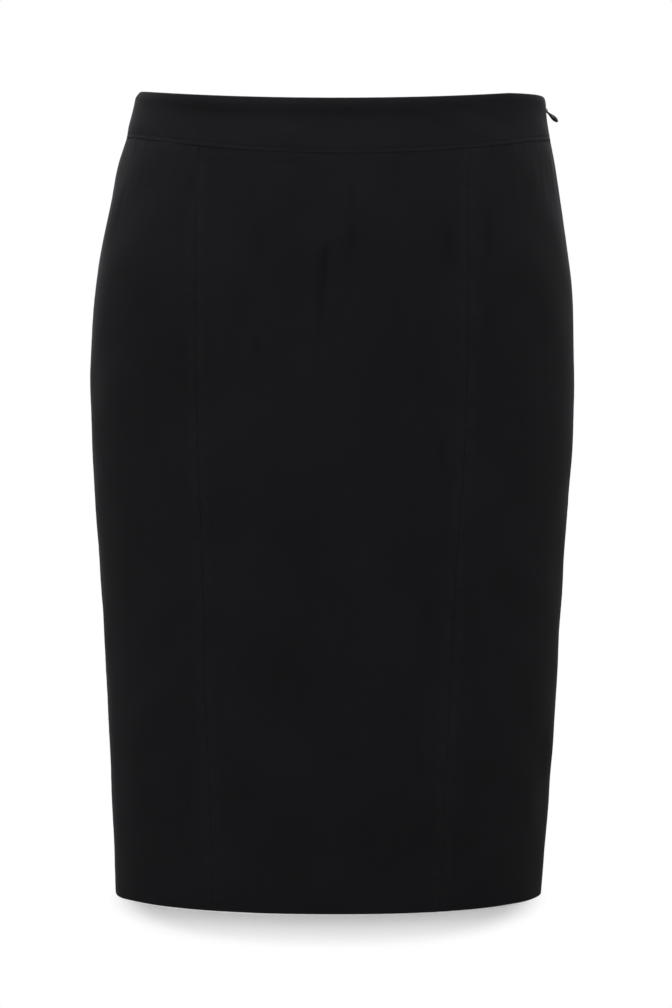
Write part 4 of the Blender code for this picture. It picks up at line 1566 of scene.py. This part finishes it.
    def pull(self) -> None:
        """Shape the teardrop pull tab as rings along its length, with the slot that holds the eye."""
        along, half_width, half_thick = np.array(self.pull_rings).T
        ends = (along[-1] - along[0]) / 2
        middle = (along[-1] + along[0]) / 2
        place = middle - ends * np.cos(np.linspace(0.0, math.pi, 44))
        width = smooth_curve(along, half_width, place)[:, None]
        thick = smooth_curve(along, half_thick, place)[:, None]
        turn = np.linspace(0.0, FULL_TURN, 36, endpoint=False)
        radius = round_square(turn, self.pull_power)
        rings = np.stack([np.broadcast_to(place[:, None], (len(place), len(turn))),
                          width * np.cos(turn) * radius, thick * np.sin(turn) * radius], axis=-1)
        slope = math.radians(self.pull_slope)
        place_on = np.array([[math.cos(slope), 0.0, math.sin(slope)], [0.0, 1.0, 0.0],
                             [-math.sin(slope), 0.0, math.cos(slope)]])
        pivot = np.array([self.pivot_x, 0.0, self.slider_level])
        tips = np.array([[place[0] - 0.02, 0.0, 0.0], [place[-1] + 0.05, 0.0, 0.0]])
        tab = ringed_mesh("pull", rings @ place_on.T + pivot, tips @ place_on.T + pivot, inside_out=True)
        slot = self.block("slot_helper", (self.pull_slot[0], -self.pull_slot_half_width, -self.pull_slot_depth),
                          (self.pull_slot[1], self.pull_slot_half_width, self.pull_slot_depth))
        slot.matrix_world = Matrix.Translation(Vector(pivot) * MM) @ Matrix.Rotation(slope, 4, "Y")
        bpy.context.view_layer.update()
        self.combine(tab, ("DIFFERENCE", slot))
        finish_piece(tab, PULL_TAB, METAL_SLOT, self.metal, "zip_pull")

    def build(self) -> None:
        """Build the whole zip."""
        self.tape("tape_front", "zip_tape_front", to_back=False)
        self.tape("tape_back", "zip_tape_back", to_back=True)
        self.coil("coil_front", side=-1.0, phase=0.0)
        self.coil("coil_back", side=1.0, phase=math.pi)
        level = self.coil_bottom - 1.0
        x = float(FORM.point(0.0, level)[0] + self.off_cloth(np.array(level))) - self.tape_thickness - 0.6
        stop = self.rounded_block("zip_stop", (x, 0.0, level), self.stop_size, power=4.0, taper=0.0)
        finish_piece(stop, GARMENT, METAL_SLOT, self.metal)
        self.slider()
        self.pull()


# ------ node graphs and finishes

Input = Socket | float | Series
Inputs = dict[str | int, Input]


@dataclass(frozen=True)
class NodeGraph:
    """A node tree, with short ways to add the nodes that the finishes use."""

    tree: Tree

    def feed(self, node: Node, inputs: Inputs) -> None:
        """Give inputs of a node a value or a link.

        Args:
            node: The node.
            inputs: What each input gets, under its name or number.
        """
        for label, value in inputs.items():
            if isinstance(value, Socket):
                self.tree.links.new(value, node.inputs[label])
            else:
                node.inputs[label].default_value = value

    def add(self, kind: str, inputs: Inputs | None = None, **settings: object) -> Node:
        """Add a shader node.

        Args:
            kind: Its type, without the leading ShaderNode.
            inputs: What its inputs get.
            settings: Its options.

        Returns:
            The node.
        """
        node = self.tree.nodes.new(f"ShaderNode{kind}")
        for option, value in settings.items():
            setattr(node, option, value)
        self.feed(node, inputs or {})
        return node

    def maths(self, operation: str, first: Input, second: Input = 0.0) -> Socket:
        """Work out a value with a Math node."""
        return self.add("Math", {0: first, 1: second}, operation=operation).outputs[0]

    def times(self, first: Input, second: Input) -> Socket:
        """Multiply two values."""
        return self.maths("MULTIPLY", first, second)

    def plus(self, first: Input, second: Input) -> Socket:
        """Add two values."""
        return self.maths("ADD", first, second)

    def noise(self, place: Socket, scale: Input, detail: float, **more: float) -> Socket:
        """Read a cloudy noise at a place."""
        return self.add("TexNoise", {"Vector": place, "Scale": scale, "Detail": detail, **more}).outputs[0]

    def spread(self, value: Input, low: float = 0.0, high: float = 1.0, to_low: float = 0.0,
               to_high: float = 1.0, **settings: object) -> Socket:
        """Carry a value from one range onto another.

        Args:
            value: The value.
            low: Bottom of its range.
            high: Top of its range.
            to_low: What the bottom becomes.
            to_high: What the top becomes.
            settings: Options of the Map Range node.

        Returns:
            The new value.
        """
        return self.add("MapRange", {"Value": value, "From Min": low, "From Max": high, "To Min": to_low,
                                     "To Max": to_high}, **settings).outputs[0]

    def mix(self, factor: Input, first: Input, second: Input) -> Socket:
        """Mix two colours by a factor that changes over the surface."""
        pair = [(*colour, 1.0) if isinstance(colour, tuple) else colour for colour in (first, second)]
        return self.add("Mix", {0: factor, 6: pair[0], 7: pair[1]}, data_type="RGBA").outputs[2]

    def bump(self, strength: float, relief: float, height: Socket) -> Socket:
        """Tilt the normal by a height, whose full relief is in metres."""
        return self.add("Bump", {"Strength": strength, "Distance": relief, "Height": height}).outputs[0]

    def mask(self, attribute: str) -> Socket:
        """Read a point attribute."""
        return self.add("Attribute", attribute_name=attribute).outputs["Fac"]

    def glow(self, kind: str, strength: Input) -> Socket:
        """White light of a strength, from an Emission or a Background node."""
        return self.add(kind, {"Color": (1.0, 1.0, 1.0, 1.0), "Strength": strength}).outputs[0]


def new_group(name: str, inputs: dict[str, str], output: str) -> tuple[NodeGraph, Node, Node]:
    """Start a shader node group with named inputs and one value as its output.

    Args:
        name: Name of the group.
        inputs: Socket type of each input, without the leading NodeSocket.
        output: Name of the output.

    Returns:
        The group's graph, and its input and output nodes.
    """
    tree = bpy.data.node_groups.new(name, "ShaderNodeTree")
    for label, kind in inputs.items():
        tree.interface.new_socket(name=label, in_out="INPUT", socket_type=f"NodeSocket{kind}")
    tree.interface.new_socket(name=output, in_out="OUTPUT", socket_type="NodeSocketFloat")
    return NodeGraph(tree), tree.nodes.new("NodeGroupInput"), tree.nodes.new("NodeGroupOutput")


def crepe_group() -> Tree:
    """Build the crepe surface: crinkled pebbles over a fine weave, whose threads wander a little.

    The weave is sin(turns across + wander) times sin(turns along + wander), one turn for each thread.

    Returns:
        The group. Place is in metres along the cloth, Pebble and Thread in millimetres, Height 0 to 1.
    """
    graph, given, result = new_group("crepe grain", {"Place": "Vector", "Pebble": "Float", "Thread": "Float"},
                                     "Height")
    scaled = graph.add("VectorMath", {0: given.outputs["Place"], "Scale": 1.0 / MM}, operation="SCALE").outputs[0]
    pebbles = graph.noise(scaled, graph.maths("DIVIDE", 1.0, given.outputs["Pebble"]), 3.0,
                          Roughness=0.62, Distortion=0.5)
    wander = graph.noise(scaled, 0.7, 1.0)
    split = graph.add("SeparateXYZ", {0: scaled})
    rate = graph.maths("DIVIDE", FULL_TURN, given.outputs["Thread"])
    weave = graph.times(*(graph.maths("SINE", graph.times(graph.plus(split.outputs[axis], wander), rate))
                          for axis in (0, 1)))
    graph.feed(result, {"Height": graph.plus(graph.times(pebbles, 0.8), graph.times(weave, 0.1))})
    return graph.tree


def mottle_group() -> Tree:
    """Build a soft unevenness of dye or polish: broad clouds, and clouds a ninth of their size.

    Returns:
        The group. Place and Size are in metres, Fine Share is how much the small clouds count, and Fac
        is about 0 to 1.
    """
    graph, given, result = new_group("mottle", {"Place": "Vector", "Size": "Float", "Fine Share": "Float"}, "Fac")
    place, rate = given.outputs["Place"], graph.maths("DIVIDE", 1.0, given.outputs["Size"])
    broad, fine = graph.noise(place, rate, 2.0), graph.noise(place, graph.times(rate, 9.0), 4.0)
    mixed = graph.add("Mix", {0: given.outputs["Fine Share"], 2: broad, 3: fine}, data_type="FLOAT").outputs[0]
    graph.feed(result, {"Fac": graph.spread(mixed, 0.3, 0.7)})
    return graph.tree


def wear_group() -> Tree:
    """Build rubbing along folded edges, and the painted sheen over pressed allowances that shares its mask: a
    mask, broken up by a fine cloud.

    Returns:
        The group. Mask and Fac are 0 to 1, Place and Size are in metres.
    """
    graph, given, result = new_group("rubbed edges", {"Mask": "Float", "Place": "Vector", "Size": "Float"}, "Fac")
    cloud = graph.noise(given.outputs["Place"], graph.maths("DIVIDE", 1.0, given.outputs["Size"]), 3.0)
    graph.feed(result, {"Fac": graph.times(given.outputs["Mask"], graph.spread(cloud, 0.35, 0.65))})
    return graph.tree


@dataclass(frozen=True)
class ShaderGroups:
    """The groups that the finishes share, built once."""

    crepe: Tree = field(default_factory=crepe_group)
    mottle: Tree = field(default_factory=mottle_group)
    wear: Tree = field(default_factory=wear_group)

    def grain(self, graph: NodeGraph, chart: Socket, pebble: float, thread: float) -> Socket:
        """Place the crepe surface in a material."""
        return graph.add("Group", {"Place": chart, "Pebble": pebble, "Thread": thread},
                         node_tree=self.crepe).outputs[0]

    def clouds(self, graph: NodeGraph, place: Socket, size: float, fine_share: float) -> Socket:
        """Place the mottle in a material."""
        return graph.add("Group", {"Place": place, "Size": size, "Fine Share": fine_share},
                         node_tree=self.mottle).outputs[0]

    def rubbing(self, graph: NodeGraph, mask: Socket, place: Socket, size: float) -> Socket:
        """Place the rubbing, and the painted sheen that shares its mask, in a material."""
        return graph.add("Group", {"Mask": mask, "Place": place, "Size": size}, node_tree=self.wear).outputs[0]


def start_material(name: str) -> tuple[Material, NodeGraph, Node, Socket]:
    """Start a material.

    Args:
        name: Its name.

    Returns:
        The material, its graph, its Principled shader, and the Object coordinates.
    """
    material = bpy.data.materials.new(name)
    material.use_nodes = True
    graph = NodeGraph(material.node_tree)
    shader = material.node_tree.nodes["Principled BSDF"]
    return material, graph, shader, graph.add("TexCoord").outputs["Object"]


@dataclass(frozen=True)
class CrepeFinish:
    """Matt black stretch crepe with a faint bluish sheen at grazing angles."""

    dark: Triple = (0.0092, 0.0092, 0.0109)
    light: Triple = (0.0127, 0.0128, 0.0151)
    # paler colour of worn folds, which over pressed allowances is painted sheen
    rubbed: Triple = (0.0235, 0.0235, 0.0265)
    # painted shade colour for crease bottoms and the band's hollow
    painted_shade: Triple = (0.004, 0.004, 0.005)
    rubbed_share: float = 0.35
    painted_shade_share: float = 0.45
    roughness: Pair = (0.92, 0.78)
    grain_range: Pair = (0.2, 0.6)
    specular: float = 0.15
    sheen: float = 0.09
    sheen_roughness: float = 0.3
    sheen_tint: Triple = (0.90, 0.93, 1.0)
    pebble: float = 0.85
    thread: float = 0.46
    bump: float = 0.4
    relief: float = 0.00012
    cloud_size: float = 0.055
    cloud_fine_share: float = 0.3
    rub_size: float = 0.004

    def build(self, groups: ShaderGroups) -> Material:
        """Make the material: a mottled dye, paler where folds are rubbed, with painted sheen over pressed
        allowances, and painted shade darkening creases and the band's hollow.

        Args:
            groups: The shared shader groups.

        Returns:
            The material.
        """
        material, graph, shader, place = start_material("black crepe")
        chart = graph.add("UVMap", uv_map=CLOTH_MAP).outputs[0]
        grain = groups.grain(graph, chart, self.pebble, self.thread)
        mottle = groups.clouds(graph, place, self.cloud_size, self.cloud_fine_share)
        dyed = graph.mix(mottle, self.dark, self.light)
        # wear along folded edges, and painted sheen over pressed allowances
        wear = groups.rubbing(graph, graph.mask(RUBBED_AND_PAINTED_SHEEN), place, self.rub_size)
        worn = graph.mix(graph.times(wear, self.rubbed_share), dyed, self.rubbed)
        # the base colour takes the painted shade where the shade mask is high
        graph.feed(shader, {
            "Base Color": graph.mix(graph.times(graph.mask(PAINTED_SHADE), self.painted_shade_share), worn, self.painted_shade),
            "Roughness": graph.spread(grain, *self.grain_range, *self.roughness),
            "Normal": graph.bump(self.bump, self.relief, grain),
            "Specular IOR Level": self.specular, "Sheen Weight": self.sheen,
            "Sheen Roughness": self.sheen_roughness, "Sheen Tint": (*self.sheen_tint, 1.0)})
        return material


@dataclass(frozen=True)
class WovenFinish:
    """Plain woven tape or twisted thread, a little glossier than the crepe."""

    name: str
    dark: Triple
    light: Triple
    roughness: float
    sheen: float
    rib: float
    relief: float
    unevenness: float = 0.06
    bump: float = 0.5
    specular: float = 0.3
    sheen_roughness: float = 0.4
    cloud_size: float = 0.012
    cloud_fine_share: float = 0.5

    def build(self, groups: ShaderGroups) -> Material:
        """Make the material: fine slanted ribs on Object coordinates over a mottled dye.

        Args:
            groups: The shared shader groups.

        Returns:
            The material.
        """
        material, graph, shader, place = start_material(self.name)
        ribs = graph.add("TexWave", {"Vector": place, "Scale": 1.0 / self.rib, "Distortion": 1.5, "Detail": 1.0},
                         bands_direction="DIAGONAL").outputs["Fac"]
        mottle = groups.clouds(graph, place, self.cloud_size, self.cloud_fine_share)
        shade = graph.times(graph.plus(ribs, mottle), 0.5)
        graph.feed(shader, {
            "Base Color": graph.mix(shade, self.dark, self.light),
            "Roughness": graph.spread(mottle, to_low=self.roughness - self.unevenness,
                                      to_high=self.roughness + self.unevenness),
            "Normal": graph.bump(self.bump, self.relief, ribs),
            "Specular IOR Level": self.specular, "Sheen Weight": self.sheen,
            "Sheen Roughness": self.sheen_roughness})
        return material


@dataclass(frozen=True)
class EnamelFinish:
    """Dark enamelled zip metal: glossy, faintly uneven, with fine rubbed marks."""

    dark: Triple = (0.050, 0.047, 0.048)
    light: Triple = (0.100, 0.092, 0.092)
    rubbed: Triple = (0.30, 0.28, 0.27)
    rubbed_share: float = 0.5
    roughness: Pair = (0.30, 0.42)
    mark_scale: float = 1900.0
    mark_range: Pair = (0.64, 0.78)
    bump: float = 0.2
    relief: float = 0.00004
    metallic: float = 0.7
    specular: float = 0.5
    cloud_size: float = 0.003
    cloud_fine_share: float = 0.4

    def build(self, groups: ShaderGroups) -> Material:
        """Make the material: a mottled enamel with pale marks where it is rubbed.

        Args:
            groups: The shared shader groups.

        Returns:
            The material.
        """
        material, graph, shader, place = start_material("dark enamelled metal")
        mottle = groups.clouds(graph, place, self.cloud_size, self.cloud_fine_share)
        marks = graph.noise(place, self.mark_scale, 2.0, Distortion=1.2)
        enamel = graph.mix(mottle, self.dark, self.light)
        worn = graph.times(graph.spread(marks, *self.mark_range), self.rubbed_share)
        graph.feed(shader, {
            "Base Color": graph.mix(worn, enamel, self.rubbed),
            "Roughness": graph.spread(mottle, 0.0, 1.0, *self.roughness),
            "Normal": graph.bump(self.bump, self.relief, marks),
            "Metallic": self.metallic, "Specular IOR Level": self.specular})
        return material


# ------ studio

@dataclass(frozen=True)
class Softbox:
    """A rectangular light: where it stands, what it points at, its size in metres and power in watts."""

    name: str
    place: Triple
    aim: Triple
    width: float
    height: float
    power: float

    def build(self) -> None:
        """Hang the light."""
        data = bpy.data.lights.new(self.name, "AREA")
        data.shape, data.size, data.size_y = "RECTANGLE", self.width, self.height
        data.energy = self.power
        light = bpy.data.objects.new(self.name, data)
        bpy.context.scene.collection.objects.link(light)
        light.location = self.place
        light.rotation_mode = "QUATERNION"
        light.rotation_quaternion = (Vector(self.aim) - Vector(self.place)).to_track_quat("-Z", "Y")


@dataclass(frozen=True)
class Studio:
    """A plain white studio: floor, pale surroundings, soft lights and the camera, in metres."""

    floor_level: float = -0.5841
    floor_radius: float = 3.0
    floor_sides: int = 96
    floor_white: float = 0.95
    floor_bounce: float = 0.16
    # painted shadow under the skirt
    floor_dark: float = 0.02
    floor_glow: float = 0.16
    hem_outline: Triple = (0.1520, 0.0975, 2.1)
    hem_outline_edge: Pair = (0.985, 1.005)
    shadow_middle: float = -0.0095
    shadow_reach: Pair = (0.152, 0.235)
    shadow_fade: Pair = (0.85, 1.06)
    front_light: float = 0.118
    back_light: float = 0.80
    light_turn: Pair = (-0.2, 0.6)
    camera_place: Triple = (-0.003656, -1.710, -0.3014)
    camera_lens: float = 83.54
    camera_sensor: float = 36.0
    lights: tuple[Softbox, ...] = (
        Softbox("top strip", (0.0, 0.28, 3.4), (0.0, 0.0, -0.58), 0.5, 0.74, 60.0),
        Softbox("key", (-0.5, -2.1, 1.2), (0.0, 0.0, -0.2), 1.6, 0.9, 18.7),
        Softbox("fill", (1.2, -1.7, 0.3), (0.0, 0.0, -0.3), 1.2, 1.0, 3.6),
        Softbox("left side", (-2.3, -1.1, 0.1), (0.0, 0.0, -0.25), 0.9, 1.6, 13.5),
        Softbox("right side", (2.3, -1.1, 0.1), (0.0, 0.0, -0.25), 0.9, 1.6, 11.0),
    )

    def floor_material(self) -> Material:
        """Make the floor's material: pale, throwing little light back, and with no underside.

        Inside the hem's outline, |x / a|^p + |y / b|^p < 1, the floor is painted dark, a painted shadow, so
        that no light shows through under the skirt. Past the shadow's reach it melts into the white surroundings.

        Returns:
            The material.
        """
        material, graph, shader, place = start_material("studio floor")
        seen = graph.add("LightPath").outputs["Is Camera Ray"]
        beside = graph.add("VectorMath", {0: place, 1: (-self.shadow_middle, 0.0, -self.floor_level)}).outputs[0]
        split = graph.add("SeparateXYZ", {0: beside})
        *half_sizes, power = self.hem_outline
        shares = [graph.maths("POWER", graph.maths("ABSOLUTE", graph.maths("DIVIDE", split.outputs[axis], half)),
                              power) for axis, half in enumerate(half_sizes)]
        outside = graph.spread(graph.plus(*shares), *self.hem_outline_edge)
        lit = graph.mix(seen, (self.floor_bounce,) * 3, (self.floor_white,) * 3)
        # painted shadow: the floor inside the hem's outline takes this dark colour
        graph.feed(shader, {"Base Color": graph.mix(outside, (self.floor_dark,) * 3, lit), "Roughness": 1.0,
                            "Specular IOR Level": 0.0})
        stretch = (*(1.0 / reach for reach in self.shadow_reach), 0.0)
        stretched = graph.add("VectorMath", {0: beside, 1: stretch}, operation="MULTIPLY").outputs[0]
        reach = graph.add("VectorMath", {0: stretched}, operation="LENGTH").outputs["Value"]
        far = graph.spread(reach, *self.shadow_fade, interpolation_type="SMOOTHSTEP")
        lift = graph.glow("Emission", graph.times(graph.times(seen, outside), self.floor_glow))
        near = graph.add("AddShader", {0: shader.outputs[0], 1: lift}).outputs[0]
        white = graph.glow("Emission", graph.maths("MAXIMUM", seen, self.front_light))
        above = graph.add("MixShader", {0: graph.times(outside, far), 1: near, 2: white}).outputs[0]
        below = graph.add("NewGeometry").outputs["Backfacing"]
        clear = graph.add("BsdfTransparent").outputs[0]
        shown = graph.add("MixShader", {0: below, 1: above, 2: clear}).outputs[0]
        graph.feed(material.node_tree.nodes["Material Output"], {"Surface": shown})
        return material

    def build_floor(self) -> None:
        """Lay the floor, a disc just under the hem."""
        turn = np.linspace(0.0, FULL_TURN, self.floor_sides, endpoint=False)
        rim = np.stack([np.cos(turn), np.sin(turn), np.zeros(len(turn))], axis=-1) * self.floor_radius
        points = np.concatenate([rim, np.zeros((1, 3))]) + [0.0, 0.0, self.floor_level]
        index = np.arange(len(turn))
        wedges = np.stack([index, np.roll(index, -1), np.full(len(turn), len(turn))], axis=-1)
        floor = build_mesh("studio_floor", points / MM, wedges)
        floor.data.materials.append(self.floor_material())

    def build_surroundings(self) -> None:
        """White to the eye; as light, brighter behind the skirt than in front of it."""
        world = bpy.data.worlds.new("pale studio")
        bpy.context.scene.world = world
        world.use_nodes = True
        world.node_tree.nodes.clear()
        graph = NodeGraph(world.node_tree)
        direction = graph.add("SeparateXYZ", {0: graph.add("TexCoord").outputs["Generated"]})
        strength = graph.spread(direction.outputs["Y"], *self.light_turn, self.front_light, self.back_light,
                                interpolation_type="SMOOTHSTEP")
        seen = graph.add("LightPath").outputs["Is Camera Ray"]
        shown = graph.add("Mix", {0: seen, 2: strength, 3: 1.0}, data_type="FLOAT").outputs[0]
        graph.add("OutputWorld", {"Surface": graph.glow("Background", shown)})

    def build_camera(self) -> None:
        """Set the camera level with the skirt's middle, straight in front."""
        data = bpy.data.cameras.new("camera")
        data.lens, data.sensor_width = self.camera_lens, self.camera_sensor
        camera = bpy.data.objects.new("camera", data)
        bpy.context.scene.collection.objects.link(camera)
        camera.location = self.camera_place
        camera.rotation_euler = (math.pi / 2, 0.0, 0.0)
        bpy.context.scene.camera = camera

    def build(self) -> None:
        """Build the studio."""
        self.build_floor()
        self.build_surroundings()
        for light in self.lights:
            light.build()
        self.build_camera()
        bpy.context.scene.view_settings.view_transform = "Standard"


# ------ assembly


def main() -> None:
    """Dress the skirt, build its studio and report the pieces."""
    logging.basicConfig(level=logging.INFO, format="%(name)s: %(message)s")
    groups = ShaderGroups()
    crepe = CrepeFinish().build(groups)
    thread, tape, nylon = (finish.build(groups) for finish in (
        WovenFinish("black thread", dark=(0.012, 0.012, 0.014), light=(0.021, 0.021, 0.024), roughness=0.6,
                    sheen=0.06, rib=0.0006, relief=0.00006),
        WovenFinish("black zip tape", dark=(0.014, 0.014, 0.016), light=(0.024, 0.024, 0.027), roughness=0.7,
                    sheen=0.2, rib=0.0009, relief=0.00008),
        WovenFinish("black nylon coil", dark=(0.014, 0.014, 0.015), light=(0.022, 0.022, 0.024), roughness=0.4,
                    sheen=0.0, rib=0.003, relief=0.00002)))
    metal = EnamelFinish().build(groups)

    band = Waistband(crepe)
    band.build("band_front", "waistband_front", Edge.ZIP_FRONT, Edge.RIGHT_SIDE)
    band.build("band_back", "waistband_back", Edge.RIGHT_SIDE, Edge.ZIP_BACK)
    panels = Panels(crepe, Drape())
    sewing = Sewing(thread)
    for cut in panels.cuts:
        grid, back = panels.build(cut)
        sewing.overlock(panels, cut, grid, back)
    sewing.edge_stitching(band)
    SideZip(tape, nylon, metal).build()
    Studio().build()


if __name__ == "__main__":
    main()
